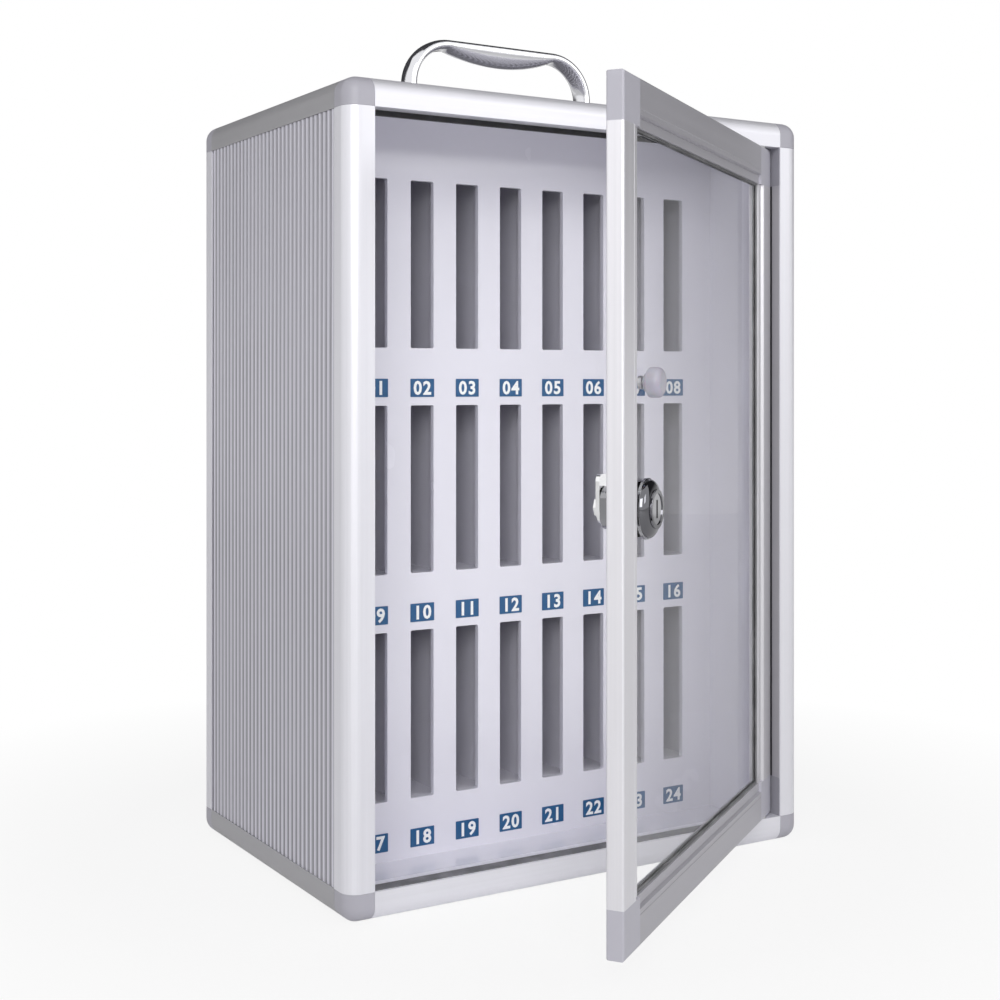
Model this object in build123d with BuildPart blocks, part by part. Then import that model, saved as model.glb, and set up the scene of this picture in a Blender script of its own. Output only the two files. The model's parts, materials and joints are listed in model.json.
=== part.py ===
from build123d import *
import math
import os

# Phone locker cabinet: an aluminium edge frame with reeded sheets, a slotted rack for
# twenty-four phones, a carrying handle and a clear hinged door with a cam lock.
# Millimetres. Origin at the centre of the underside, X to the right, Y to the rear, Z up.

# Cabinet
width = 280.0
depth = 190.0
height = 400.0

# Edge profile: a hollow square extrusion with one rounded outer edge
profile = 14.5
edge_radius = 8.0
core_wall = 2.1
groove_lip = 1.0
groove_width = 1.4
groove_depth = 3.0
groove_wall = 1.0
leg_length = 9.5
leg_clearance = 0.1
leg_chamfer = 1.0

# Sheets in the panel grooves
sheet = 1.2
tongue = 2.7
sheet_clearance = 0.1
reed_pitch = 5.0
reed_height = 0.6
reed_flank = 1.6

# Boards inside the frame
base_board = 5.0
lining = 3.0
board_clearance = 0.2

# Rack
columns = 8
rows = 3
rack_setback = 59.5
rack_board = 3.0
crate_board = 2.0
crate_clearance = 0.1
rack_margin = 12.7
rack_head = 32.2
row_strip = 29.9
slot_width = 13.6
slot_bevel = 0.6
plate_width = 14.0
plate_height = 9.5
plate_thickness = 0.3
plate_drop = 16.0
rack_foot = 5.4

# Door
door_angle = 35.0
door_profile = 21.0
door_thickness = 8.0
door_recess = 0.5
door_side_gap = 1.0
door_end_gap = 0.8
door_flat = 15.7
score_inset = 13.3
score_depth = 0.2
step_depth = 1.8
step_width = 0.6
lip_depth = 1.4
door_edge_radius = 1.0
door_core_start = 2.0
door_core_width = 10.0
door_core_wall = 1.8
door_leg_length = 15.0
pane_recess = 3.2
pane_thickness = 2.5
pane_hold = 5.0
gasket_wall = 0.6
gasket_bead = 1.0
gasket_clearance = 0.02

# Hinge
pin_radius = 1.5
pin_in_rail = 11.5
pin_in_door = 10.0
pin_end_gap = 0.4
pin_fit = 0.02
running_clearance = 0.05
washer_radius = 3.5

# Weather strips
seal_width = 2.0
seal_root = 1.2
seal_stand = 2.6
seal_gap = 0.3
seal_clearance = 0.05
sill_thickness = 0.4
sill_front = 1.5

# Lock
lock_inset = 38.0
lock_height = 200.0
flange_radius = 13.4
flange_rim = 1.2
bell_rise = 3.2
boss_radius = 8.6
boss_rise = 5.6
barrel_radius = 9.5
barrel_flat = 8.3
barrel_length = 18.3
plug_radius = 5.6
plug_head_radius = 6.8
plug_head = 2.0
plug_sink = 0.4
keyway_width = 1.8
keyway_length = 8.0
keyway_depth = 6.0
nut_across = 24.0
nut_thickness = 5.0
hole_clearance = 0.2
cam_gap = 0.5
cam_thickness = 1.8
cam_hub = 7.2
cam_lug = 14.8
cam_arm = 34.0
cam_tip = 5.0
cam_round = 3.0
tail_side = 7.0
tail_short = 0.2
cam_screw_radius = 2.0
cam_screw_length = 8.0
cam_screw_head = 3.6
cam_screw_rise = 2.4

# Strike for the cam
keeper_tall = 32.0
keeper_base = 14.0
keeper_flange = 6.0
keeper_sheet = 1.5
keeper_gap = 1.0
keeper_screw_spacing = 20.0
keeper_screw_radius = 1.2
keeper_screw_length = 3.8
keeper_head_radius = 2.4
keeper_head_rise = 1.2

# Pull knob
knob_height = 255.0
knob_neck = 4.0
knob_neck_rise = 2.6
knob_radius = 6.7
knob_rise = 8.2
knob_bevel = 1.4
knob_screw_radius = 1.5
knob_screw_depth = 5.0
knob_head_radius = 3.0
knob_head_rise = 1.6

# Carrying handle
handle_length = 120.0
handle_rise = 44.5
handle_bend = 26.0
handle_band = 5.6
handle_breadth = 13.5
handle_belly = 12.0
handle_waist = 10.2
handle_chamfer = 1.4
handle_screw_radius = 1.6
handle_screw_length = 10.0
handle_head_radius = 3.4
handle_head_rise = 2.6
head_clearance = 0.6

# Sizes that follow from the driving dimensions
core_start = groove_lip + groove_width + groove_wall
core = profile - core_start - core_wall
leg = core - 2 * leg_clearance
leg_start = core_start + leg_clearance
opening_width = width - 2 * profile
opening_depth = depth - 2 * profile
opening_height = height - 2 * profile
sheet_face = groove_lip + sheet_clearance
sheet_back = sheet_face + sheet
reed_crest = sheet_face - reed_height

board_bottom = sheet_back + base_board
board_top = height - board_bottom
board_height = board_top - board_bottom
inner_width = opening_width - 2 * lining
front_y = -depth / 2
rack_y = front_y + rack_setback
crate_front = rack_y + rack_board
crate_rear = depth / 2 - profile - lining
crate_depth = crate_rear - crate_front
column_pitch = (inner_width - 2 * rack_margin - crate_board) / columns
slot_bottom = board_bottom + rack_foot + plate_height + plate_drop
slot_height = (board_top - rack_head - slot_bottom + row_strip) / rows - row_strip
row_pitch = slot_height + row_strip
rack_middle = slot_bottom + slot_height / 2 + row_pitch * (rows - 1) / 2
plate_middle = rack_middle - slot_height / 2 - plate_drop - plate_height / 2

seal_at = door_recess + door_thickness + seal_gap
lining_front = front_y + seal_at + seal_width + board_clearance
door_width = opening_width - 2 * door_side_gap
door_height = opening_height - 2 * door_end_gap
door_bottom = profile + door_end_gap
door_middle = door_bottom + door_height / 2
door_top = door_bottom + door_height
hinge_inset = door_profile / 2
free_edge = door_width - hinge_inset
door_centre = door_width / 2 - hinge_inset
hinge_x = opening_width / 2 - door_side_gap - hinge_inset
hinge_y = front_y + door_recess + door_thickness / 2
hinge_swing = math.hypot(hinge_inset, door_thickness / 2) + 2 * seal_gap
half_door = door_thickness / 2
rebate_front = pane_recess - gasket_wall
rebate_rear = pane_recess + pane_thickness + gasket_wall
pane_inset = door_profile - pane_hold
rebate_inset = pane_inset - gasket_wall
door_core = door_thickness - 2 * door_core_wall

# Directions on the open door: towards its free edge, and out of its face
swing = math.radians(door_angle)
along = Vector(-math.cos(swing), -math.sin(swing), 0)
outward = Vector(math.sin(swing), -math.cos(swing), 0)
up = Vector(0, 0, 1)

mid_height = Plane.XY.offset(height / 2)
low = (Align.MIN, Align.MIN)
low_3 = (Align.MIN, Align.MIN, Align.MIN)
on_floor = (Align.CENTER, Align.CENTER, Align.MIN)

os.makedirs("parts", exist_ok=True)


def finish(piece, label):
    """Name a piece and write it."""
    piece.part.label = label
    export_step(piece.part, f"parts/{label}.step")


def door_point(from_hinge, from_middle, z):
    """Point on the open door, by its distance from the hinge axis and from mid-thickness."""
    return Vector(hinge_x, hinge_y, z) + along * from_hinge + outward * from_middle


# ---------------------------------------------------------------- edge frame

post_plane = Plane(origin=(-width / 2, front_y, profile), x_dir=(1, 0, 0), z_dir=(0, 0, 1))
cross_plane = Plane(origin=(-width / 2 + profile, front_y, 0), x_dir=(0, 1, 0), z_dir=(1, 0, 0))
side_plane = Plane(origin=(-width / 2, front_y + profile, 0), x_dir=(0, 0, 1), z_dir=(0, 1, 0))


def edge_bar(label, plane, length, grooves, mirrors=(), pin_bore=False):
    """Length of edge profile. The plane's x and y run inward from the two outer faces."""
    with BuildPart() as bar:
        with BuildSketch(plane) as section:
            Rectangle(profile, profile, align=low)
            fillet(section.vertices().sort_by_distance((0, 0))[0], edge_radius)
            with Locations((core_start, core_start)):
                Rectangle(core, core, align=low, mode=Mode.SUBTRACT)
            if "panel y" in grooves:
                with Locations((groove_lip, profile - groove_depth)):
                    Rectangle(groove_width, groove_depth, align=low, mode=Mode.SUBTRACT)
            if "panel x" in grooves:
                with Locations((profile - groove_depth, groove_lip)):
                    Rectangle(groove_depth, groove_width, align=low, mode=Mode.SUBTRACT)
            if "seal y" in grooves:
                with Locations((seal_at, profile - seal_root)):
                    Rectangle(seal_width, seal_root, align=low, mode=Mode.SUBTRACT)
            if "seal x" in grooves:
                with Locations((profile - seal_root, seal_at)):
                    Rectangle(seal_root, seal_width, align=low, mode=Mode.SUBTRACT)
        extrude(amount=length)
        if pin_bore:
            with BuildSketch(Plane.XY.offset(profile)):
                with Locations((hinge_x, hinge_y)):
                    Circle(pin_radius + pin_fit)
            extrude(amount=-pin_in_rail - pin_end_gap, mode=Mode.SUBTRACT)
        for about in mirrors:
            mirror(about=about, mode=Mode.REPLACE)
    finish(bar, label)


closed_bar = ("panel x", "panel y")
edge_bar("front_left_post", post_plane, opening_height, ("panel y", "seal x"))
edge_bar("front_right_post", post_plane, opening_height, ("panel y", "seal x"), [Plane.YZ])
edge_bar("rear_left_post", post_plane, opening_height, closed_bar, [Plane.XZ])
edge_bar("rear_right_post", post_plane, opening_height, closed_bar, [Plane.YZ, Plane.XZ])
edge_bar("front_bottom_rail", cross_plane, opening_width, ("panel x", "seal y"), pin_bore=True)
edge_bar("front_top_rail", cross_plane, opening_width, ("panel x", "seal y"), [mid_height], True)
edge_bar("rear_bottom_rail", cross_plane, opening_width, closed_bar, [Plane.XZ])
edge_bar("rear_top_rail", cross_plane, opening_width, closed_bar, [Plane.XZ, mid_height])
edge_bar("left_bottom_rail", side_plane, opening_depth, closed_bar)
edge_bar("left_top_rail", side_plane, opening_depth, closed_bar, [mid_height])
edge_bar("right_bottom_rail", side_plane, opening_depth, closed_bar, [Plane.YZ])
edge_bar("right_top_rail", side_plane, opening_depth, closed_bar, [Plane.YZ, mid_height])


def corner_block(label, mirrors):
    """Moulded cube with three rounded edges and a leg for each of its three bars."""
    with BuildPart() as block:
        with Locations((-width / 2, front_y, 0)):
            Box(profile, profile, profile, align=low_3)
        for plane in (post_plane, cross_plane, side_plane):
            with BuildSketch(plane.offset(-profile)):
                Rectangle(edge_radius, edge_radius, align=low)
                with Locations((edge_radius, edge_radius)):
                    Circle(edge_radius, mode=Mode.SUBTRACT)
            extrude(amount=profile, mode=Mode.SUBTRACT)
            with BuildSketch(plane):
                with Locations((leg_start, leg_start)):
                    Rectangle(leg, leg, align=low)
            extrude(amount=leg_length)
            tip = block.faces().sort_by_distance(plane.origin + plane.z_dir * leg_length
                                                 + (plane.x_dir + plane.y_dir) * profile / 2)[0]
            chamfer(tip.edges(), leg_chamfer)
        for about in mirrors:
            mirror(about=about, mode=Mode.REPLACE)
    finish(block, label)


for end, end_mirror in (("front", []), ("rear", [Plane.XZ])):
    for side, side_mirror in (("left", []), ("right", [Plane.YZ])):
        for level, level_mirror in (("bottom", []), ("top", [mid_height])):
            corner_block(f"{end}_{level}_{side}_corner", end_mirror + side_mirror + level_mirror)


# ---------------------------------------------------------------- outer sheets

def reeded_sheet(label, plane, across, run, screw_holes=False):
    """Sheet with bevelled reeds outside. The plane's x runs across them, its y outward."""
    count = int(across // reed_pitch)
    start = -count * reed_pitch / 2
    with BuildPart() as panel:
        for side_tongue, end_tongue in ((tongue, 0), (0, tongue)):
            with BuildSketch(plane.offset(-end_tongue)):
                with Locations((0, -sheet_face - sheet / 2)):
                    Rectangle(across + 2 * side_tongue, sheet)
            extrude(amount=run + 2 * end_tongue)
        with BuildSketch(plane):
            with BuildLine():
                for k in range(count):
                    left = start + k * reed_pitch
                    Polyline((left, -sheet_face), (left + reed_flank, -reed_crest),
                             (left + reed_pitch - reed_flank, -reed_crest),
                             (left + reed_pitch, -sheet_face))
                Polyline((-start, -sheet_face), (-start, -sheet_face - sheet / 2),
                         (start, -sheet_face - sheet / 2), (start, -sheet_face))
            make_face()
        extrude(amount=run)
        if screw_holes:
            with BuildSketch(Plane.XY.offset(height - sheet_back)):
                with Locations(*handle_screws_at):
                    Circle(handle_screw_radius + hole_clearance)
            extrude(amount=sheet_back, mode=Mode.SUBTRACT)
    finish(panel, label)


handle_screw_x = (handle_length - handle_band) / 2
handle_screws_at = ((-handle_screw_x, 0), (handle_screw_x, 0))
right_sheet = Plane(origin=(width / 2, 0, profile), x_dir=(0, -1, 0), z_dir=(0, 0, 1))
left_sheet = Plane(origin=(-width / 2, 0, profile), x_dir=(0, 1, 0), z_dir=(0, 0, 1))
rear_sheet = Plane(origin=(0, depth / 2, profile), x_dir=(1, 0, 0), z_dir=(0, 0, 1))
top_sheet = Plane(origin=(0, opening_depth / 2, height), x_dir=(1, 0, 0), z_dir=(0, -1, 0))
reeded_sheet("left_panel", left_sheet, opening_depth, opening_height)
reeded_sheet("right_panel", right_sheet, opening_depth, opening_height)
reeded_sheet("rear_panel", rear_sheet, opening_width, opening_height)
reeded_sheet("top_panel", top_sheet, opening_width, opening_depth, screw_holes=True)

with BuildPart() as bottom_panel:
    Box(opening_width, opening_depth, sheet_back, align=on_floor)
    with Locations((0, 0, sheet_face)):
        Box(opening_width + 2 * tongue, opening_depth, sheet, align=on_floor)
        Box(opening_width, opening_depth + 2 * tongue, sheet, align=on_floor)
finish(bottom_panel, "bottom_panel")


# ---------------------------------------------------------------- lining

board_width = opening_width - 2 * board_clearance
board_depth = opening_depth - 2 * board_clearance

with BuildPart() as floor_board:
    with Locations((0, 0, sheet_back)):
        Box(board_width, board_depth, base_board, align=on_floor)
finish(floor_board, "floor_board")

with BuildPart() as ceiling_board:
    with Locations((0, 0, board_top)):
        Box(board_width, board_depth, base_board, align=on_floor)
    with BuildSketch(Plane.XY.offset(board_top)):
        with Locations(*handle_screws_at):
            Circle(handle_head_radius + head_clearance)
    extrude(amount=base_board, mode=Mode.SUBTRACT)
finish(ceiling_board, "ceiling_board")

with BuildPart() as rear_lining:
    with Locations((0, crate_rear + lining / 2, board_bottom)):
        Box(board_width, lining, board_height, align=on_floor)
finish(rear_lining, "rear_lining")

keeper_y = hinge_y - half_door + pane_recess + barrel_length + cam_gap - keeper_gap - keeper_sheet
keeper_x = -inner_width / 2
keeper_screw_y = keeper_y + keeper_sheet + (keeper_base - keeper_sheet) / 2
keeper_face = Plane(origin=(keeper_x + keeper_sheet, keeper_screw_y, lock_height),
                    x_dir=(0, 1, 0), z_dir=(1, 0, 0))


def side_lining(label, mirrors=(), screw_holes=False):
    """Upright board on a side, lapping the inner face of the front post between the rails."""
    with BuildPart() as board:
        with BuildSketch(Plane.YZ.offset(-opening_width / 2)):
            with Locations((-board_depth / 2, board_bottom)):
                Rectangle(crate_rear + board_depth / 2, board_height, align=low)
            with Locations((lining_front, profile + board_clearance)):
                Rectangle(profile, opening_height - 2 * board_clearance, align=low)
        extrude(amount=lining)
        if screw_holes:
            with BuildSketch(keeper_face):
                with GridLocations(0, keeper_screw_spacing, 1, 2):
                    Circle(keeper_screw_radius + pin_fit)
            extrude(amount=-keeper_screw_length - pin_end_gap, mode=Mode.SUBTRACT)
        for about in mirrors:
            mirror(about=about, mode=Mode.REPLACE)
    finish(board, label)


side_lining("left_lining", screw_holes=True)
side_lining("right_lining", [Plane.YZ])


# ---------------------------------------------------------------- rack

with BuildSketch() as phone_slot:
    Rectangle(slot_width, slot_height)
    chamfer(phone_slot.vertices(), slot_bevel)

with BuildPart() as rack_front_panel:
    with BuildSketch(Plane.XZ.offset(-rack_y)):
        with Locations((0, board_bottom)):
            Rectangle(inner_width, board_height, align=(Align.CENTER, Align.MIN))
        with Locations((0, rack_middle)):
            with GridLocations(column_pitch, row_pitch, columns, rows):
                add(phone_slot.sketch, mode=Mode.SUBTRACT)
    extrude(amount=-rack_board)
finish(rack_front_panel, "rack_front_panel")

notch = crate_board + 2 * crate_clearance
lap = crate_depth / 2 + crate_clearance

with BuildPart() as rack_dividers:
    with BuildSketch(Plane.XY.offset(board_bottom)):
        with Locations((0, crate_front + crate_depth / 2)):
            with GridLocations(column_pitch, 0, columns + 1, 1):
                Rectangle(crate_board, crate_depth)
    extrude(amount=board_height)
    with BuildSketch(Plane.XZ.offset(-crate_rear)):
        with Locations((0, slot_bottom - crate_board / 2 + row_pitch * (rows - 1) / 2)):
            with GridLocations(0, row_pitch, 1, rows):
                Rectangle(inner_width, notch)
    extrude(amount=lap, mode=Mode.SUBTRACT)
finish(rack_dividers, "rack_dividers")

with BuildPart() as rack_shelves:
    with BuildSketch(Plane.XZ.offset(-crate_front)):
        with Locations((0, slot_bottom - crate_board / 2 + row_pitch * (rows - 1) / 2)):
            with GridLocations(0, row_pitch, 1, rows):
                Rectangle(inner_width, crate_board)
    extrude(amount=-crate_depth)
    with BuildSketch(Plane.XZ.offset(-crate_front)):
        with Locations((0, height / 2)):
            with GridLocations(column_pitch, 0, columns + 1, 1):
                Rectangle(notch, height)
    extrude(amount=-lap, mode=Mode.SUBTRACT)
finish(rack_shelves, "rack_shelves")

with BuildPart() as number_plates:
    with BuildSketch(Plane.XZ.offset(-rack_y)):
        with Locations((0, plate_middle)):
            with GridLocations(column_pitch, row_pitch, columns, rows):
                Rectangle(plate_width, plate_height)
    extrude(amount=plate_thickness)
finish(number_plates, "number_plates")


# ---------------------------------------------------------------- carrying handle

with BuildPart() as carry_handle:
    foot_z = height - reed_crest
    top_z = height + handle_rise
    half_length = handle_length / 2
    inner_bend = handle_bend - handle_band
    grip = half_length - handle_bend
    with BuildSketch(Plane.XZ):
        with BuildLine():
            Polyline((-half_length + handle_band, foot_z), (-half_length, foot_z),
                     (-half_length, top_z - handle_bend))
            CenterArc((-grip, top_z - handle_bend), handle_bend, 90, 90)
            Line((-grip, top_z), (grip, top_z))
            CenterArc((grip, top_z - handle_bend), handle_bend, 0, 90)
            Polyline((half_length, top_z - handle_bend), (half_length, foot_z),
                     (half_length - handle_band, foot_z),
                     (half_length - handle_band, top_z - handle_bend))
            CenterArc((grip, top_z - handle_bend), inner_bend, 0, 90)
            Spline((grip, top_z - handle_band), (grip / 2, top_z - handle_waist),
                   (0, top_z - handle_belly), (-grip / 2, top_z - handle_waist),
                   (-grip, top_z - handle_band), tangents=((-1, 0), (-1, 0)))
            CenterArc((-grip, top_z - handle_bend), inner_bend, 90, 90)
            Line((-half_length + handle_band, top_z - handle_bend),
                 (-half_length + handle_band, foot_z))
        make_face()
    extrude(amount=handle_breadth / 2, both=True)
    chamfer(carry_handle.faces().filter_by(Axis.Y).edges()
            - carry_handle.faces().sort_by(Axis.Z)[:2].edges(), handle_chamfer)
    with BuildSketch(Plane.XY.offset(foot_z)):
        with Locations(*handle_screws_at):
            Circle(handle_screw_radius + pin_fit)
    extrude(amount=handle_screw_length + pin_end_gap, mode=Mode.SUBTRACT)
finish(carry_handle, "carry_handle")

with BuildPart() as handle_screws:
    with BuildSketch(Plane.XY.offset(height - sheet_back)):
        with Locations(*handle_screws_at):
            Circle(handle_head_radius)
    extrude(amount=-handle_head_rise)
    with BuildSketch(Plane.XY.offset(height - sheet_back)):
        with Locations(*handle_screws_at):
            Circle(handle_screw_radius)
    extrude(amount=sheet_back - reed_crest + handle_screw_length)
finish(handle_screws, "handle_screws")


# ---------------------------------------------------------------- weather strips

seal_y = front_y + seal_at + seal_clearance
seal = seal_width - 2 * seal_clearance
seal_depth = seal_root + seal_stand
top_seal_end = hinge_x - hinge_swing

with BuildPart() as door_seals:
    with Locations((-opening_width / 2, seal_y, height - profile - seal_stand)):
        Box(top_seal_end + opening_width / 2, seal, seal_depth, align=low_3)
    with Locations((-opening_width / 2 - seal_root, seal_y, profile)):
        Box(seal_depth, seal, opening_height - seal_stand, align=low_3)
finish(door_seals, "door_seals")

sill_end = hinge_x - washer_radius - seal_gap

with BuildPart() as sill_strip:
    with Locations((-opening_width / 2, front_y + sill_front, profile)):
        Box(sill_end + opening_width / 2, seal_at - sill_front, sill_thickness, align=low_3)
finish(sill_strip, "sill_strip")


# ---------------------------------------------------------------- hinge

def hinge_group(label, radius, start, reach, bore=0.0):
    """One round piece at the bottom hinge point and its mirror image at the top one."""
    with BuildPart() as group:
        with BuildSketch(Plane.XY.offset(start)):
            with Locations((hinge_x, hinge_y)):
                Circle(radius)
                if bore:
                    Circle(bore, mode=Mode.SUBTRACT)
        extrude(amount=reach)
        mirror(about=mid_height)
    finish(group, label)


hinge_group("hinge_pins", pin_radius, profile - pin_in_rail,
            pin_in_rail + door_end_gap + pin_in_door)
hinge_group("hinge_washers", washer_radius, profile, door_end_gap - 2 * running_clearance,
            pin_radius + running_clearance)


# ---------------------------------------------------------------- strike

with BuildPart() as lock_keeper:
    with Locations((keeper_x, keeper_y, lock_height)):
        Box(keeper_sheet, keeper_base, keeper_tall, align=(Align.MIN, Align.MIN, Align.CENTER))
        Box(keeper_flange, keeper_sheet, keeper_tall, align=(Align.MIN, Align.MIN, Align.CENTER))
    with BuildSketch(keeper_face):
        with GridLocations(0, keeper_screw_spacing, 1, 2):
            Circle(keeper_screw_radius + hole_clearance)
    extrude(amount=-keeper_sheet, mode=Mode.SUBTRACT)
finish(lock_keeper, "lock_keeper")

with BuildPart() as keeper_screws:
    with BuildSketch(keeper_face):
        with GridLocations(0, keeper_screw_spacing, 1, 2):
            Circle(keeper_head_radius)
    extrude(amount=keeper_head_rise)
    with BuildSketch(keeper_face):
        with GridLocations(0, keeper_screw_spacing, 1, 2):
            Circle(keeper_screw_radius)
    extrude(amount=-keeper_screw_length)
finish(keeper_screws, "keeper_screws")


# ---------------------------------------------------------------- door frame

free_stile_end = Plane(origin=door_point(free_edge, half_door, door_bottom),
                       x_dir=-along, z_dir=up)
hinge_stile_end = Plane(origin=door_point(-hinge_inset, half_door, door_top),
                        x_dir=along, z_dir=-up)
bottom_rail_end = Plane(origin=door_point(-hinge_inset, half_door, door_bottom),
                        x_dir=up, z_dir=along)
top_rail_end = Plane(origin=door_point(free_edge, half_door, door_top),
                     x_dir=-up, z_dir=-along)
stile_joint = free_stile_end.offset(door_profile)
rail_joint = Plane(origin=door_point(free_edge - door_profile, half_door, door_bottom),
                   x_dir=up, z_dir=along)
door_midline = Plane(origin=door_point(door_centre, 0, door_middle), z_dir=along)
door_midheight = Plane.XY.offset(door_middle)


def door_bar(label, plane, length):
    """Length of door profile. The plane's x runs in from the edge, its y in from the face."""
    with BuildPart() as bar:
        with BuildSketch(plane.offset(door_profile)) as section:
            with BuildLine():
                Polyline((0, 0), (score_inset - score_depth, 0), (score_inset, score_depth),
                         (score_inset + score_depth, 0), (door_flat, 0),
                         (door_flat + step_width, step_depth),
                         (door_flat + 2 * step_width, lip_depth), (door_profile, lip_depth),
                         (door_profile, rebate_front), (rebate_inset, rebate_front),
                         (rebate_inset, rebate_rear), (door_profile, rebate_rear),
                         (door_profile, door_thickness), (0, door_thickness), close=True)
            make_face()
            fillet(section.vertices().sort_by_distance((0, half_door))[:2], door_edge_radius)
            with Locations((door_core_start, door_core_wall)):
                Rectangle(door_core_width, door_core, align=low, mode=Mode.SUBTRACT)
        extrude(amount=length)
    finish(bar, label)


door_bar("door_free_stile", free_stile_end, door_height - 2 * door_profile)
door_bar("door_hinge_stile", hinge_stile_end, door_height - 2 * door_profile)
door_bar("door_bottom_rail", bottom_rail_end, door_width - 2 * door_profile)
door_bar("door_top_rail", top_rail_end, door_width - 2 * door_profile)


def door_corner(label, mirrors=(), bore_start=None, bore_reach=0.0):
    """Moulded square with a leg for each of its two bars and a rebate for the pane."""
    with BuildPart() as block:
        for plane, mode in ((free_stile_end, Mode.ADD), (rail_joint, Mode.INTERSECT)):
            with BuildSketch(plane) as section:
                Rectangle(door_profile, door_thickness, align=low)
                fillet(section.vertices().sort_by_distance((0, half_door))[:2], door_edge_radius)
            extrude(amount=door_profile, mode=mode)
        for plane, reach in ((stile_joint, door_leg_length), (rail_joint, -door_leg_length)):
            with BuildSketch(plane):
                with Locations((door_core_start + leg_clearance, door_core_wall + leg_clearance)):
                    Rectangle(door_core_width - 2 * leg_clearance, door_core - 2 * leg_clearance,
                              align=low)
            extrude(amount=reach)
        with BuildSketch(free_stile_end.offset(rebate_inset)):
            with Locations((rebate_inset, rebate_front)):
                Rectangle(door_profile - rebate_inset, rebate_rear - rebate_front, align=low)
        extrude(amount=door_profile - rebate_inset, mode=Mode.SUBTRACT)
        for about in mirrors:
            mirror(about=about, mode=Mode.REPLACE)
        if bore_start:
            with BuildSketch(Plane.XY.offset(bore_start)):
                with Locations((hinge_x, hinge_y)):
                    Circle(pin_radius + running_clearance)
            extrude(amount=bore_reach, mode=Mode.SUBTRACT)
    finish(block, label)


pin_bore = pin_in_door + pin_end_gap
door_corner("door_free_bottom_corner")
door_corner("door_free_top_corner", [door_midheight])
door_corner("door_hinge_bottom_corner", [door_midline], door_bottom, pin_bore)
door_corner("door_hinge_top_corner", [door_midline, door_midheight], door_top, -pin_bore)


# ---------------------------------------------------------------- door pane

lock_at = free_edge - lock_inset
lock_point = door_point(lock_at, half_door - pane_recess, lock_height)
knob_point = door_point(lock_at, half_door - pane_recess, knob_height)
lock_face = Plane(origin=lock_point, x_dir=along, z_dir=-outward)
knob_face = Plane(origin=knob_point, x_dir=along, z_dir=-outward)
lock_axis = Axis(lock_point, outward)
knob_axis = Axis(knob_point, outward)
pane_face = Plane(origin=door_point(door_centre, half_door - pane_recess, door_middle),
                  x_dir=along, z_dir=-outward)
pane_width = door_width - 2 * pane_inset
pane_height = door_height - 2 * pane_inset

with BuildPart() as door_pane:
    with BuildSketch(pane_face):
        Rectangle(pane_width, pane_height)
    extrude(amount=pane_thickness)
    with BuildSketch(lock_face):
        Circle(barrel_radius + hole_clearance)
        Rectangle(2 * (barrel_flat + hole_clearance), height, mode=Mode.INTERSECT)
    extrude(amount=pane_thickness, mode=Mode.SUBTRACT)
    with BuildSketch(knob_face):
        Circle(knob_screw_radius + hole_clearance)
    extrude(amount=pane_thickness, mode=Mode.SUBTRACT)
finish(door_pane, "door_pane")

gasket_reach = gasket_wall - gasket_clearance
bead_inset = pane_hold + gasket_bead

with BuildPart() as pane_gasket:
    with BuildSketch(pane_face.offset(-gasket_reach)):
        Rectangle(pane_width + 2 * gasket_reach, pane_height + 2 * gasket_reach)
        Rectangle(pane_width - 2 * bead_inset, pane_height - 2 * bead_inset, mode=Mode.SUBTRACT)
    extrude(amount=pane_thickness + 2 * gasket_reach)
    with BuildSketch(pane_face):
        Rectangle(pane_width, pane_height)
    extrude(amount=pane_thickness, mode=Mode.SUBTRACT)
finish(pane_gasket, "pane_gasket")


# ---------------------------------------------------------------- pull knob

with BuildPart() as pull_knob:
    with BuildSketch(Plane(origin=knob_point, x_dir=along, z_dir=up)) as section:
        with BuildLine():
            Polyline((0, knob_rise), (0, 0), (knob_neck, 0), (knob_neck, knob_neck_rise),
                     (knob_radius, knob_neck_rise), (knob_radius, knob_rise), close=True)
        make_face()
        chamfer(section.vertices().sort_by_distance((knob_radius, knob_rise))[0], knob_bevel)
    revolve(axis=knob_axis)
    with BuildSketch(knob_face):
        Circle(knob_screw_radius + pin_fit)
    extrude(amount=-knob_screw_depth - pin_end_gap, mode=Mode.SUBTRACT)
finish(pull_knob, "pull_knob")

with BuildPart() as knob_screw:
    with BuildSketch(knob_face.offset(pane_thickness)):
        Circle(knob_head_radius)
    extrude(amount=knob_head_rise)
    with BuildSketch(knob_face.offset(pane_thickness)):
        Circle(knob_screw_radius)
    extrude(amount=-pane_thickness - knob_screw_depth)
finish(knob_screw, "knob_screw")


# ---------------------------------------------------------------- cam lock

lock_section = Plane(origin=lock_point, x_dir=along, z_dir=up)
plug_bore = plug_radius + running_clearance
head_bore = plug_head_radius + running_clearance
head_seat = boss_rise - plug_sink - plug_head - running_clearance

with BuildPart() as lock_body:
    with BuildSketch(lock_section):
        with BuildLine():
            Polyline((plug_bore, -barrel_length), (barrel_radius, -barrel_length),
                     (barrel_radius, 0), (flange_radius, 0), (flange_radius, flange_rim),
                     (boss_radius, bell_rise), (boss_radius, boss_rise), (head_bore, boss_rise),
                     (head_bore, head_seat), (plug_bore, head_seat), close=True)
        make_face()
    revolve(axis=lock_axis)
    with BuildSketch(lock_face):
        Circle(flange_radius)
        Rectangle(2 * barrel_flat, height, mode=Mode.SUBTRACT)
    extrude(amount=barrel_length, mode=Mode.SUBTRACT)
finish(lock_body, "lock_body")

with BuildPart() as lock_nut:
    with BuildSketch(lock_face.offset(pane_thickness)):
        RegularPolygon(nut_across / 2, 6, major_radius=False)
        Circle(barrel_radius + pin_fit, mode=Mode.SUBTRACT)
    extrude(amount=nut_thickness)
finish(lock_nut, "lock_nut")

cam_face = lock_face.offset(barrel_length + cam_gap)
plug_front = boss_rise - plug_sink

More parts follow.
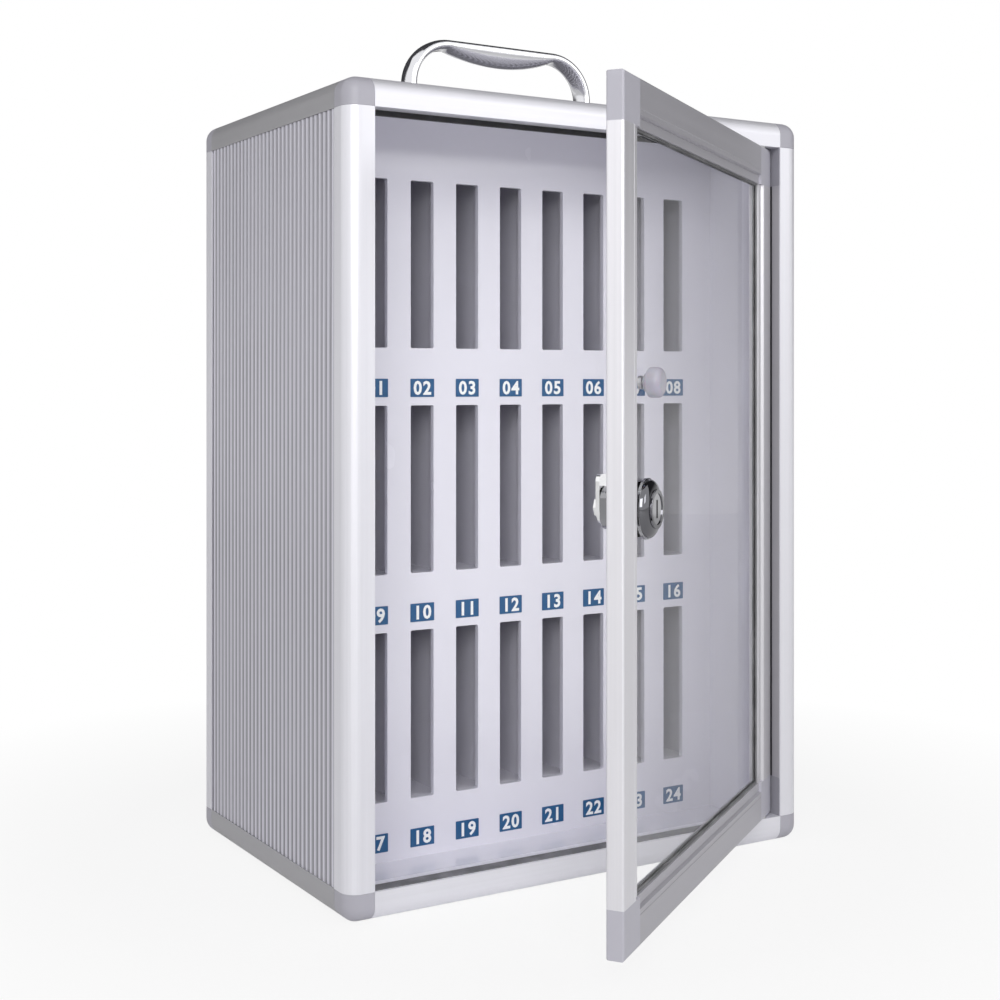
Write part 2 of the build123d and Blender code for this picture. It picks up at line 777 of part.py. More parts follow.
with BuildPart() as lock_plug:
    with BuildSketch(lock_face.offset(-plug_front)):
        Circle(plug_head_radius)
    extrude(amount=plug_head)
    with BuildSketch(lock_face.offset(-plug_front)):
        Circle(plug_radius)
    extrude(amount=plug_front + barrel_length + cam_gap)
    with BuildSketch(cam_face):
        Rectangle(tail_side, tail_side)
    extrude(amount=cam_thickness - tail_short)
    with BuildSketch(cam_face.offset(cam_thickness - tail_short)):
        Circle(cam_screw_radius + pin_fit)
    extrude(amount=-cam_screw_length - pin_end_gap, mode=Mode.SUBTRACT)
    with BuildSketch(lock_face.offset(-plug_front)):
        Rectangle(keyway_width, keyway_length)
    extrude(amount=keyway_depth, mode=Mode.SUBTRACT)
finish(lock_plug, "lock_plug")

with BuildPart() as lock_cam:
    with BuildSketch(cam_face) as cam_outline:
        with BuildLine():
            Polyline((0, -cam_hub), (0, cam_hub), (-cam_arm, cam_tip), (-cam_arm, -cam_tip),
                     close=True)
        make_face()
        with Locations((0, cam_lug / 2)):
            Rectangle(2 * cam_hub, cam_lug)
        corners = cam_outline.vertices()
        fillet(corners.sort_by_distance((0, cam_lug))[:2]
               + corners.sort_by_distance((-cam_arm, 0))[:2], cam_round)
        Circle(cam_hub)
        Rectangle(tail_side + 2 * running_clearance, tail_side + 2 * running_clearance,
                  mode=Mode.SUBTRACT)
    extrude(amount=cam_thickness)
finish(lock_cam, "lock_cam")

with BuildPart() as cam_screw:
    with BuildSketch(cam_face.offset(cam_thickness)):
        RegularPolygon(cam_screw_head, 6, major_radius=False)
    extrude(amount=cam_screw_rise)
    with BuildSketch(cam_face.offset(cam_thickness)):
        Circle(cam_screw_radius)
    extrude(amount=-tail_short - cam_screw_length)
finish(cam_screw, "cam_screw")
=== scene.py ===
import json
import math

import bmesh
import bpy
from bpy.props import FloatProperty, FloatVectorProperty, IntProperty, PointerProperty
from mathutils import Matrix, Vector

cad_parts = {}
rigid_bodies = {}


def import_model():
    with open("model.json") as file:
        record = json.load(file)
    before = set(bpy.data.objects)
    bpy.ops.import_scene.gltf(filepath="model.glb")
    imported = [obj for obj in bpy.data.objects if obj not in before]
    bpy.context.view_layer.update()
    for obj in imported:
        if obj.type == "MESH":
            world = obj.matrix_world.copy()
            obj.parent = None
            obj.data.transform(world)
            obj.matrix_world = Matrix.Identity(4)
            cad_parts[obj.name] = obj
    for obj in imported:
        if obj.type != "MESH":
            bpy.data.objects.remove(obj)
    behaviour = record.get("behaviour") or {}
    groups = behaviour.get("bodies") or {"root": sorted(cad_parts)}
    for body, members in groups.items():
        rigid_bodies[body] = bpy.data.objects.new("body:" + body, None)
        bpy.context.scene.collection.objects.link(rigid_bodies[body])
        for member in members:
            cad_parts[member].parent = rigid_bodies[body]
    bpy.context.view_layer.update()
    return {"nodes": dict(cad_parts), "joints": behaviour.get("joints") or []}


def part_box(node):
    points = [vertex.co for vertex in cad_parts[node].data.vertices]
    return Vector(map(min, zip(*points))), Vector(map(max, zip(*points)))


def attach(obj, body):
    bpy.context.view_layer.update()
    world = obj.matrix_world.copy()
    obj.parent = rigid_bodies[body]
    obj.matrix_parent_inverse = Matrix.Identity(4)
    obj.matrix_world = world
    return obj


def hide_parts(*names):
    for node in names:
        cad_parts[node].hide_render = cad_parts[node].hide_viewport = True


bl_info = {
    "name": "Phone locker finish",
    "version": (1, 0, 0),
    "blender": (4, 5, 0),
    "location": "View3D > Sidebar > Locker",
    "description": "Finishes and fine pieces for a phone locker, built around its CAD frame",
    "category": "Object",
}

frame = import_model()

CABINET = "cabinet"
DOOR = "door"

# ------------------------------------------------------------------ read from the frame

POSTS = [f"{end}_{side}_post" for end in ("front", "rear") for side in ("left", "right")]
CROSS_RAILS = [f"{end}_{level}_rail" for end in ("front", "rear") for level in ("bottom", "top")]
SIDE_RAILS = [f"{side}_{level}_rail" for side in ("left", "right") for level in ("bottom", "top")]
CORNERS = [f"{end}_{level}_{side}_corner" for end in ("front", "rear")
           for level in ("bottom", "top") for side in ("left", "right")]
DOOR_RAILS = ["door_bottom_rail", "door_top_rail"]
DOOR_CORNERS = [f"door_{side}_{level}_corner" for side in ("free", "hinge")
                for level in ("bottom", "top")]
BOARDS = ["floor_board", "ceiling_board", "left_lining", "right_lining", "rear_lining"]
POST_LOW, POST_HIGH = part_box("front_left_post")
FRAME_SIDE = (POST_HIGH - POST_LOW).x
BOX_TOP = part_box("left_top_rail")[1].z
HALF_WIDTH = -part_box("left_bottom_rail")[0].x
HALF_DEPTH = -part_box("front_bottom_rail")[0].y

# The lock's axis points straight out of the door, which stands part open at rest
LOCK_JOINT = next(joint for joint in frame["joints"] if joint["name"] == "lock_turn")
LOCK_POINT = Vector(LOCK_JOINT["pos_m"])
OUTWARD = Vector(LOCK_JOINT["axis"]).normalized()
UP = Vector((0.0, 0.0, 1.0))
ALONG = OUTWARD.cross(UP).normalized()
if ALONG.x > 0:
    ALONG = -ALONG
DOOR_AXES = (ALONG, OUTWARD, UP)
WORLD_AXES = ((1.0, 0.0, 0.0), (0.0, 1.0, 0.0), (0.0, 0.0, 1.0))
ACROSS, DEEP, HIGH = WORLD_AXES


def box_of(node):
    """Lowest corner, highest corner and middle of a CAD node's box."""
    low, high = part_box(node)
    return low, high, (low + high) / 2


# ------------------------------------------------------------------ materials

MIX_INPUTS = (0, 6, 7)       # factor and the two colour sockets of a Mix node
MIX_RESULT = 2               # its colour output

# Bands of a noise's values that are spread over a range of roughness or colour
NOISE_BAND = (0.3, 0.7)
RUB_BAND = (0.2, 0.8)
HAZE_BAND = (0.3, 0.8)
DUST_BAND = (0.45, 0.8)

# Grain stretched along three directions: fine across the work, long along it
FINE = 900.0
DIE_LINE = 7.0
ROLL_MARK = 6.0
GRAIN_FIRST = (DIE_LINE, FINE, FINE)
GRAIN_SECOND = (FINE, DIE_LINE, FINE)
GRAIN_THIRD = (FINE, FINE, DIE_LINE)
ROLLED_UPRIGHT = (FINE, FINE, ROLL_MARK)
ROLLED_TOP = (FINE, ROLL_MARK, FINE)
SCRATCHES = (3000.0, 200.0, 900.0)

PLAIN_SHEET = (0.55, 0.55, 0.57)
ZINC = (0.62, 0.62, 0.64)
NYLON = (0.75, 0.75, 0.72)
RUBBER = (0.016, 0.016, 0.018)
GASKET = (0.16, 0.16, 0.165)
SILL = (0.14, 0.14, 0.15)
LOCK_INNER = (0.36, 0.36, 0.38)
CAM = (0.96, 0.96, 0.97)
CLEAR = (0.985, 0.985, 0.99)
PANE_IOR = 1.12
KNOB_IOR = 1.46
# Painted highlight and painted shade on the reeds: the colour is lighter along each reed's back and
# darker in the grooves, in step with the reeds, standing in for light falling on them.
REED_PAINTED_HIGHLIGHT = 1.40                 # shade of a reed's back
GROOVE_PAINTED_SHADE = 0.42                  # shade of the groove beside it
GROOVE_SHADE_REACH = 0.8             # below 1 the groove's shade reaches further up


def shade(color, factor):
    """A colour made lighter or darker, with the alpha that sockets want."""
    return (*(min(1.0, part * factor) for part in color), 1.0)


class Finish:
    """A material in the making: short calls that add and join shader nodes."""

    def __init__(self, name):
        self.material = bpy.data.materials.new(name)
        self.material.use_nodes = True
        self.nodes = self.material.node_tree.nodes
        self.links = self.material.node_tree.links
        self.shader = self.nodes["Principled BSDF"]
        self.output = self.nodes["Material Output"]
        self.place = self.add("ShaderNodeTexCoord").outputs["Object"]

    def add(self, kind, **settings):
        node = self.nodes.new(kind)
        for key, value in settings.items():
            setattr(node, key, value)
        return node

    def join(self, value, socket):
        """Links an output to a socket, or sets a plain value on it."""
        if isinstance(value, bpy.types.NodeSocket):
            self.links.new(value, socket)
        else:
            socket.default_value = value

    def set(self, **values):
        """Values on the shader's own sockets: base_color=..., roughness=..."""
        for key, value in values.items():
            label = key.replace("_", " ").title().replace("Ior", "IOR")
            self.join(value, self.shader.inputs[label])

    def stretched(self, scale, axes=WORLD_AXES):
        """Place along three directions, each stretched by its own scale."""
        node = self.add("ShaderNodeCombineXYZ")
        for direction, factor, socket in zip(axes, scale, node.inputs):
            self.join(self.math("MULTIPLY", self.along(direction), factor), socket)
        return node.outputs["Vector"]

    def noise(self, vector=None, scale=1.0, detail=3.0, roughness=0.5):
        node = self.add("ShaderNodeTexNoise")
        self.links.new(self.place if vector is None else vector, node.inputs["Vector"])
        node.inputs["Scale"].default_value = scale
        node.inputs["Detail"].default_value = detail
        node.inputs["Roughness"].default_value = roughness
        return node.outputs["Fac"]

    def math(self, operation, first, second=0.0):
        node = self.add("ShaderNodeMath", operation=operation)
        for value, socket in zip((first, second), node.inputs):
            self.join(value, socket)
        return node.outputs["Value"]

    def along(self, direction):
        """Distance along a direction, from the origin."""
        node = self.add("ShaderNodeVectorMath", operation="DOT_PRODUCT")
        self.links.new(self.place, node.inputs[0])
        node.inputs[1].default_value = direction
        return node.outputs["Value"]

    def spread(self, value, band, low=0.0, high=1.0):
        """Maps a band of a value to the range from low to high."""
        node = self.add("ShaderNodeMapRange")
        for item, key in zip((value, *band, low, high),
                             ("Value", "From Min", "From Max", "To Min", "To Max")):
            self.join(item, node.inputs[key])
        return node.outputs["Result"]

    def blend(self, factor, first, second):
        node = self.add("ShaderNodeMix", data_type="RGBA")
        for value, socket in zip((factor, first, second), MIX_INPUTS):
            self.join(value, node.inputs[socket])
        return node.outputs[MIX_RESULT]

    def tint(self, factor, color, first, second):
        """A colour between two of its own shades."""
        return self.blend(factor, shade(color, first), shade(color, second))

    def bump(self, height, strength, depth):
        """Fine relief, in metres, on the finished surface."""
        node = self.add("ShaderNodeBump")
        node.inputs["Strength"].default_value = strength
        node.inputs["Distance"].default_value = depth
        self.links.new(height, node.inputs["Height"])
        self.links.new(node.outputs["Normal"], self.shader.inputs["Normal"])


def satin_extrusion(name, color, grain, axes=WORLD_AXES, metallic=0.4):
    """Anodised extrusion: die lines along its length and a cloudy sheen."""
    finish = Finish(name)
    streak = finish.noise(finish.stretched(grain, axes), detail=4.0, roughness=0.6)
    cloud = finish.noise(scale=9.0, detail=2.0)
    tone = finish.tint(streak, color, 0.94, 1.05)
    tone = finish.blend(finish.spread(cloud, NOISE_BAND, 0.0, 0.5), tone, shade(color, 0.97))
    rough = finish.spread(streak, NOISE_BAND, 0.38, 0.48)
    finish.set(base_color=tone, roughness=rough, metallic=metallic)
    finish.bump(streak, strength=0.15, depth=0.00004)
    return finish.material


def moulded_plastic(name, color, rough):
    """Injection-moulded plastic with a fine spark grain and slightly cloudy colour."""
    finish = Finish(name)
    grain = finish.noise(scale=2600.0, detail=2.0)
    cloud = finish.noise(scale=30.0)
    tone = finish.tint(cloud, color, 0.96, 1.03)
    finish.set(base_color=tone, specular_ior_level=0.5,
               roughness=finish.spread(grain, NOISE_BAND, rough - 0.05, rough + 0.05))
    finish.bump(grain, strength=0.15, depth=0.00004)
    return finish.material


def rolled_sheet(name, color, grain, across=None, pitch=1.0):
    """Silver sheet with faint roll marks, and a painted highlight along its reeds' crests and
    painted shade in their grooves.
    """
    finish = Finish(name)
    marks = finish.noise(finish.stretched(grain))
    cloud = finish.noise(scale=12.0, detail=2.0)
    if across:
        # painted highlight on the crests and painted shade in the grooves, in step with the reeds
        turn = finish.math("MULTIPLY", finish.along(across), 2 * math.pi / pitch)
        wave = finish.spread(finish.math("COSINE", turn), (-1.0, 1.0))
        tone = finish.tint(finish.math("POWER", wave, GROOVE_SHADE_REACH), color, REED_PAINTED_HIGHLIGHT, GROOVE_PAINTED_SHADE)
    else:
        tone = finish.tint(marks, color, 0.95, 1.04)
    tone = finish.blend(finish.spread(cloud, NOISE_BAND, 0.0, 0.3), tone, shade(color, 0.95))
    finish.set(base_color=tone, metallic=0.45,
               roughness=finish.spread(marks, NOISE_BAND, 0.30, 0.40))
    finish.bump(marks, strength=0.2, depth=0.00005)
    return finish.material


def glossy_board(name, color, rough, coat=0.0):
    """Laminated board: even colour with a faint orange-peel ripple and rubbed patches."""
    finish = Finish(name)
    peel = finish.noise(scale=420.0, detail=2.0)
    rub = finish.noise(scale=14.0, detail=4.0)
    tone = finish.tint(rub, color, 0.99, 1.01)
    finish.set(base_color=tone, roughness=finish.spread(rub, RUB_BAND, rough - 0.01, rough + 0.02),
               specular_ior_level=0.5, coat_weight=coat, coat_roughness=0.08)
    finish.bump(peel, strength=0.08, depth=0.00006)
    return finish.material


def bright_plating(name, color, rough):
    """Plated metal, nearly mirror-like, with faint polishing swirls and finger haze."""
    finish = Finish(name)
    haze = finish.noise(scale=90.0, detail=5.0, roughness=0.6)
    polish = finish.noise(scale=1800.0, detail=2.0)
    tone = finish.tint(haze, color, 0.97, 1.02)
    finish.set(base_color=tone, roughness=finish.spread(haze, HAZE_BAND, rough * 0.6, rough * 1.8),
               metallic=1.0)
    finish.bump(polish, strength=0.02, depth=0.00002)
    return finish.material


def zinc_steel(name):
    """Zinc-plated steel with a mottled, lightly scratched surface."""
    finish = Finish(name)
    mottle = finish.noise(scale=260.0, detail=5.0, roughness=0.65)
    scratch = finish.noise(finish.stretched(SCRATCHES))
    tone = finish.tint(mottle, ZINC, 0.86, 1.1)
    finish.set(base_color=tone, metallic=1.0,
               roughness=finish.spread(scratch, NOISE_BAND, 0.28, 0.42))
    finish.bump(scratch, strength=0.1, depth=0.00003)
    return finish.material


def extruded_rubber(name, color=RUBBER):
    """Extruded rubber: dull, with faint grain and dust."""
    finish = Finish(name)
    grain = finish.noise(scale=1500.0)
    dust = finish.noise(scale=60.0, detail=4.0)
    tone = finish.tint(finish.spread(dust, DUST_BAND), color, 1.0, 2.2)
    finish.set(base_color=tone, roughness=finish.spread(grain, NOISE_BAND, 0.55, 0.7))
    finish.bump(grain, strength=0.2, depth=0.00005)
    return finish.material


def clear_acrylic(name):
    """Clear sheet with the faintest cool tint and a trace of surface haze."""
    finish = Finish(name)
    haze = finish.noise(scale=25.0, detail=4.0)
    finish.set(base_color=shade(CLEAR, 1.0), ior=PANE_IOR, transmission_weight=1.0,
               roughness=finish.spread(haze, HAZE_BAND, 0.0, 0.01))
    return finish.material


def frosted_plastic(name, color):
    """Translucent knob plastic that lets a little light through."""
    finish = Finish(name)
    cloud = finish.noise(scale=160.0)
    tone = finish.tint(cloud, color, 0.95, 1.02)
    finish.set(base_color=tone, roughness=finish.spread(cloud, NOISE_BAND, 0.12, 0.2), ior=KNOB_IOR,
               transmission_weight=0.35, subsurface_weight=0.3, subsurface_scale=0.004)
    return finish.material


def printed_ink(name, color):
    """Printed label stock: saturated ink with a slight dot texture and a satin film."""
    finish = Finish(name)
    dots = finish.noise(scale=3200.0, detail=1.0)
    wear = finish.noise(scale=200.0, detail=4.0)
    tone = finish.tint(dots, color, 0.92, 1.08)
    finish.set(base_color=tone, roughness=finish.spread(wear, NOISE_BAND, 0.28, 0.4))
    finish.bump(dots, strength=0.05, depth=0.00002)
    return finish.material


def dress(nodes, material):
    """Gives CAD nodes one material."""
    for node in nodes:
        thing = frame["nodes"][node]
        if not thing.material_slots:
            raise RuntimeError(f"{node} has no material slot")
        for slot in thing.material_slots:
            slot.material = material


# ------------------------------------------------------------------ meshes

CORNER_SEAM = 0.0003         # chamfer where a corner block meets its bars
CORNER_STEPS = 14
CORNER_SHARP = 40.0          # degrees, past which an edge stays sharp
ROUND_SHARP = 30.0
TINY = 1e-7                  # metres
SAME_POINT = 1e-6
SAME_SHARE = 1e-4            # shares of a corner's side: points this near are one
FLAT_SHARE = 1e-5            # and faces thinner than this are dropped


def placed_object(name, data):
    """An object that holds the data, linked to the scene."""
    thing = bpy.data.objects.new(name, data)
    bpy.context.scene.collection.objects.link(thing)
    return thing


def piece_from(name, mesh, material, body, replaced=()):
    """Puts a finished mesh in the scene at the origin and ties it to its CAD body."""
    thing = placed_object(name, mesh)
    if material:
        mesh.materials.clear()
        mesh.materials.append(material)
    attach(thing, body)
    if replaced:
        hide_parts(*replaced)


def smooth_by_angle(mesh, degrees):
    """Smooth faces with sharp edges past an angle."""
    mesh.polygons.foreach_set("use_smooth", [True] * len(mesh.polygons))
    mesh.set_sharp_from_angle(angle=math.radians(degrees))


def mesh_from(shape, name, sharp=None):
    """Makes a mesh of a worked shape and frees it. With an angle, its faces are smooth."""
    mesh = bpy.data.meshes.new(name)
    shape.to_mesh(mesh)
    shape.free()
    if sharp:
        smooth_by_angle(mesh, sharp)
    return mesh


def bridge(shape, rings):
    """Skins a run of rings, each of the same number of corners or a single pole."""
    for lower, upper in zip(rings, rings[1:]):
        count = max(len(lower), len(upper))
        for k in range(count):
            after = (k + 1) % count
            if len(lower) == 1:
                shape.faces.new((lower[0], upper[k], upper[after]))
            elif len(upper) == 1:
                shape.faces.new((lower[k], upper[0], lower[after]))
            else:
                shape.faces.new((lower[k], upper[k], upper[after], lower[after]))


def lathe(name, profile, origin, direction, segments, sharp):
    """Turned solid: (radius, height) points spun about a direction."""
    direction = Vector(direction).normalized()
    side = direction.orthogonal().normalized()
    other = direction.cross(side)
    shape = bmesh.new()
    rings = []
    for radius, height in profile:
        centre = Vector(origin) + direction * height
        if radius < TINY:
            rings.append([shape.verts.new(centre)])
            continue
        ring = []
        for k in range(segments):
            turn = 2 * math.pi * k / segments
            ring.append(shape.verts.new(centre + side * radius * math.cos(turn)
                                        + other * radius * math.sin(turn)))
        rings.append(ring)
    bridge(shape, rings)
    bmesh.ops.recalc_face_normals(shape, faces=shape.faces)
    return mesh_from(shape, name, sharp)


def soften(nodes, material, body):
    """Stands smooth-shaded copies of round CAD pieces, their triangles joined, in their place."""
    for node in nodes:
        shape = bmesh.new()
        shape.from_mesh(frame["nodes"][node].data)
        bmesh.ops.remove_doubles(shape, verts=shape.verts, dist=SAME_POINT)
        mesh = mesh_from(shape, node + "_soft", ROUND_SHARP)
        piece_from(node + "_finished", mesh, material, body, (node,))


def ball_corner(name, outer, inward, side, radius):
    """Cube whose outer corner is a ball: three rounded skins and three flat inner faces."""
    shape = bmesh.new()

    def placed(u, v, w):
        core = Vector([max(value, radius) for value in (u, v, w)])
        away = (Vector((u, v, w)) - core).normalized()
        reach = radius - CORNER_SEAM if max(u, v, w) > side - CORNER_SEAM / 2 else radius
        point = core + away * reach
        return Vector(outer) + Vector([part * sign for part, sign in zip(point, inward)])

    spots = [(side - CORNER_SEAM) * k / CORNER_STEPS for k in range(CORNER_STEPS + 1)] + [side]
    for skin in range(3):
        grid = []
        for a in spots:
            row = []
            for b in spots:
                local = [a, b]
                local.insert(skin, 0.0)
                row.append(shape.verts.new(placed(*local)))
            grid.append(row)
        for here, ahead in zip(grid, grid[1:]):
            for j in range(len(spots) - 1):
                shape.faces.new((here[j], ahead[j], ahead[j + 1], here[j + 1]))
    bmesh.ops.remove_doubles(shape, verts=shape.verts, dist=side * SAME_SHARE)
    bmesh.ops.dissolve_degenerate(shape, edges=shape.edges, dist=side * FLAT_SHARE)
    back = shape.verts.new(Vector(outer) + Vector([side * sign for sign in inward]))
    rims = []
    for cut in range(3):
        level = outer[cut] + side * inward[cut]
        rims.append(walk([edge for edge in shape.edges if edge.is_boundary
                          and all(abs(v.co[cut] - level) < side * SAME_SHARE for v in edge.verts)]))
    for rim in rims:
        shape.faces.new(rim + [back])
    bmesh.ops.recalc_face_normals(shape, faces=shape.faces)
    return mesh_from(shape, name, CORNER_SHARP)


def walk(edges):
    """Corners of an open chain of edges, in order."""
    count = {}
    for edge in edges:
        for corner in edge.verts:
            count.setdefault(corner, []).append(edge)
    start = next(corner for corner, found in count.items() if len(found) == 1)
    chain, used = [start], set()
    while True:
        ahead = [edge for edge in count[chain[-1]] if edge not in used]
        if not ahead:
            return chain
        used.add(ahead[0])
        chain.append(ahead[0].other_vert(chain[-1]))


# ------------------------------------------------------------------ geometry trees

REED_STEPS = 8               # flats round a reed's back
PLATE_STEPS = 4              # points round a plate's corner
FIGURE_STEPS = 3             # points along each curve of a figure
CAP_SHARE = 0.72             # height of a figure over its font size


class Tree:
    """A Geometry Nodes tree in the making, with named inputs for its sizes."""

    KINDS = {float: "NodeSocketFloat", int: "NodeSocketInt",
             bpy.types.Material: "NodeSocketMaterial", bpy.types.Collection: "NodeSocketCollection"}

    def __init__(self, name, **values):
        self.group = bpy.data.node_groups.new(name, "GeometryNodeTree")
        self.values = values
        self.keys = {}
        for key, value in values.items():
            kind = next(self.KINDS[base] for base in self.KINDS if isinstance(value, base))
            item = self.group.interface.new_socket(name=key, in_out="INPUT", socket_type=kind)
            self.keys[key] = item.identifier
        self.group.interface.new_socket(name="Geometry", in_out="OUTPUT",
                                        socket_type="NodeSocketGeometry")
        self.source = self.group.nodes.new("NodeGroupInput")

    def given(self, key):
        """The output that carries a named input."""
        return self.source.outputs[key]

    def add(self, kind, inputs=(), **settings):
        """Adds a node. Inputs are {socket name or index: output or plain value}."""
        node = self.group.nodes.new(kind)
        for key, value in settings.items():
            setattr(node, key, value)
        for key, value in dict(inputs).items():
            if isinstance(value, bpy.types.NodeSocket):
                self.group.links.new(value, node.inputs[key])
            else:
                node.inputs[key].default_value = value
        return node.outputs[0]

    def math(self, operation, first, second=0.0):
        return self.add("ShaderNodeMath", {0: first, 1: second}, operation=operation)

    def times(self, first, second):
        return self.math("MULTIPLY", first, second)

    def vector(self, x=0.0, y=0.0, z=0.0):
        return self.add("ShaderNodeCombineXYZ", {0: x, 1: y, 2: z})

    def together(self, *parts):
        node = self.group.nodes.new("GeometryNodeJoinGeometry")
        for part in parts:
            self.group.links.new(part, node.inputs[0])
        return node.outputs[0]

    def prism(self, outline, reach):
        """Closed solid: a flat closed curve pulled along Z."""
        face = self.add("GeometryNodeFillCurve", {"Curve": outline}, mode="NGONS")
        pulled = self.add("GeometryNodeExtrudeMesh",
                          {"Mesh": face, "Offset": self.vector(z=1.0), "Offset Scale": reach,
                           "Individual": False}, mode="FACES")
        base = self.add("GeometryNodeFlipFaces", {"Mesh": face})
        return self.add("GeometryNodeMergeByDistance",
                        {"Geometry": self.together(pulled, base), "Distance": TINY})

    def mesh(self, last, smooth=False):
        """Ends the tree with real geometry and its material, and returns the plain mesh."""
        real = self.add("GeometryNodeRealizeInstances", {"Geometry": last})
        final = self.add("GeometryNodeSetMaterial",
                         {"Geometry": real, "Material": self.given("Material")})
        output = self.group.nodes.new("NodeGroupOutput")
        self.group.links.new(final, output.inputs[0])
        host = placed_object(self.group.name, bpy.data.meshes.new(self.group.name))
        modifier = host.modifiers.new("Shape", "NODES")
        modifier.node_group = self.group
        for key, value in self.values.items():
            modifier[self.keys[key]] = value
        depsgraph = bpy.context.evaluated_depsgraph_get()
        result = bpy.data.meshes.new_from_object(host.evaluated_get(depsgraph),
                                                 depsgraph=depsgraph)
        host.modifiers.remove(modifier)
        bpy.data.objects.remove(host)
        if not result.polygons:
            raise RuntimeError(f"the tree {self.group.name} made no faces")
        if smooth:
            smooth_by_angle(result, ROUND_SHARP)
        return result


def reeded_mesh(name, across, run, pitch, height, plate, material):
    """Sheet with round reeds: X runs across them, Y outward from the sheet's face, Z along."""
    tree = Tree(name, Across=across, Run=run, Pitch=pitch, Height=height, Plate=plate,
                Count=int(across // pitch), Material=material)
    half = tree.times(tree.given("Pitch"), 0.5)
    left = tree.vector(tree.times(half, -1.0))
    crest = tree.vector(y=tree.times(tree.given("Height"), 2.0))
    curve = tree.add("GeometryNodeCurveQuadraticBezier",
                     {"Resolution": REED_STEPS, "Start": left, "Middle": crest,
                      "End": tree.vector(half)})
    outline = tree.add("GeometryNodeSetSplineCyclic", {"Geometry": curve, "Cyclic": True})
    reed = tree.prism(outline, tree.given("Run"))
    start = tree.times(tree.math("SUBTRACT", tree.given("Count"), 1.0),
                      tree.times(tree.given("Pitch"), -0.5))
    line = tree.add("GeometryNodeMeshLine",
                    {"Count": tree.given("Count"), "Start Location": tree.vector(start),
                     "Offset": tree.vector(tree.given("Pitch"))})
    reeds = tree.add("GeometryNodeInstanceOnPoints", {"Points": line, "Instance": reed})
    slab = tree.add("GeometryNodeMeshCube",
                    {"Size": tree.vector(tree.given("Across"), tree.given("Plate"),
                                         tree.given("Run"))})
    slab = tree.add("GeometryNodeTransform",
                    {"Geometry": slab, "Translation": tree.vector(
                        0.0, tree.times(tree.given("Plate"), -0.5),
                        tree.times(tree.given("Run"), 0.5))})
    return tree.mesh(tree.together(reeds, slab), smooth=True)


def grid_points(tree):
    """One point for each slot: columns along X, rows along Y."""
    span = {}
    for key, count, pitch in (("X", "Columns", "Column Pitch"), ("Y", "Rows", "Row Pitch")):
        steps = tree.math("SUBTRACT", tree.given(count), 1.0)
        span[key] = tree.times(steps, tree.given(pitch))
    return tree.add("GeometryNodeMeshGrid",
                    {"Size X": span["X"], "Size Y": span["Y"],
                     "Vertices X": tree.given("Columns"), "Vertices Y": tree.given("Rows")})


def plates_mesh(grid, width, height, thickness, corner, material):
    """Blank number plates, one on each point of the grid."""
    tree = Tree("number_plates", Width=width, Height=height, Thickness=thickness, Corner=corner,
                Material=material, **grid)
    outline = tree.add("GeometryNodeCurvePrimitiveQuadrilateral",
                       {"Width": tree.given("Width"), "Height": tree.given("Height")})
    outline = tree.add("GeometryNodeFilletCurve",
                       {"Curve": outline, "Count": PLATE_STEPS, "Radius": tree.given("Corner")},
                       mode="POLY")
    plate = tree.prism(outline, tree.given("Thickness"))
    return tree.mesh(tree.add("GeometryNodeInstanceOnPoints",
                              {"Points": grid_points(tree), "Instance": plate}))


def figures_mesh(grid, glyphs, gap, material):
    """Two-figure numbers, counted along each row from the top left."""
    tree = Tree("slot_numbers", Gap=gap, Glyphs=glyphs, Material=material, **grid)
    points = grid_points(tree)
    place = tree.group.nodes.new("ShaderNodeSeparateXYZ")
    tree.group.links.new(tree.add("GeometryNodeInputPosition"), place.inputs[0])
    half_row = tree.times(tree.math("SUBTRACT", tree.given("Columns"), 1.0), 0.5)
    half_column = tree.times(tree.math("SUBTRACT", tree.given("Rows"), 1.0), 0.5)
    column = tree.math("ADD", tree.math("DIVIDE", place.outputs[0], tree.given("Column Pitch")),
                       half_row)
    row = tree.math("SUBTRACT", half_column,
                    tree.math("DIVIDE", place.outputs[1], tree.given("Row Pitch")))
    before = tree.times(tree.math("ROUND", row), tree.given("Columns"))
    number = tree.math("ADD", tree.math("ADD", before, tree.math("ROUND", column)), 1.0)
    tens = tree.math("FLOOR", tree.math("DIVIDE", number, 10.0))
    ones = tree.math("SUBTRACT", number, tree.times(tens, 10.0))
    figures = tree.add("GeometryNodeCollectionInfo",
                       {"Collection": tree.given("Glyphs"), "Separate Children": True,
                        "Reset Children": True})
    rows_of_figures = []
    for figure, side in ((tens, -0.5), (ones, 0.5)):
        offset = tree.vector(tree.times(tree.given("Gap"), side))
        marks = tree.add("GeometryNodeInstanceOnPoints",
                         {"Points": points, "Instance": figures, "Pick Instance": True,
                          "Instance Index": figure})
        rows_of_figures.append(tree.add("GeometryNodeTranslateInstances",
                                        {"Instances": marks, "Translation": offset}))
    return tree.mesh(tree.together(*rows_of_figures))


def glyph_collection(height, weight, relief):
    """Ten plain bold figures as small meshes, each centred on its own middle."""
    shelf = bpy.data.collections.new("figures")
    bpy.context.scene.collection.children.link(shelf)
    for figure in range(10):
        text = bpy.data.curves.new(f"figure_{figure}", "FONT")
        text.body = str(figure)
        text.size = height / CAP_SHARE
        text.offset = weight
        text.extrude = relief
        text.resolution_u = FIGURE_STEPS
        source = bpy.data.objects.new(text.name, text)
        shelf.objects.link(source)
        bpy.context.view_layer.update()
        mesh = bpy.data.meshes.new_from_object(source)
        bpy.data.objects.remove(source)
        middle = [(min(v.co[k] for v in mesh.vertices) + max(v.co[k] for v in mesh.vertices)) / 2
                  for k in range(2)]
        mesh.transform(Matrix.Translation((-middle[0], -middle[1], 0.0)))
        shelf.objects.link(bpy.data.objects.new(f"figure_{figure}_mesh", mesh))
    return shelf


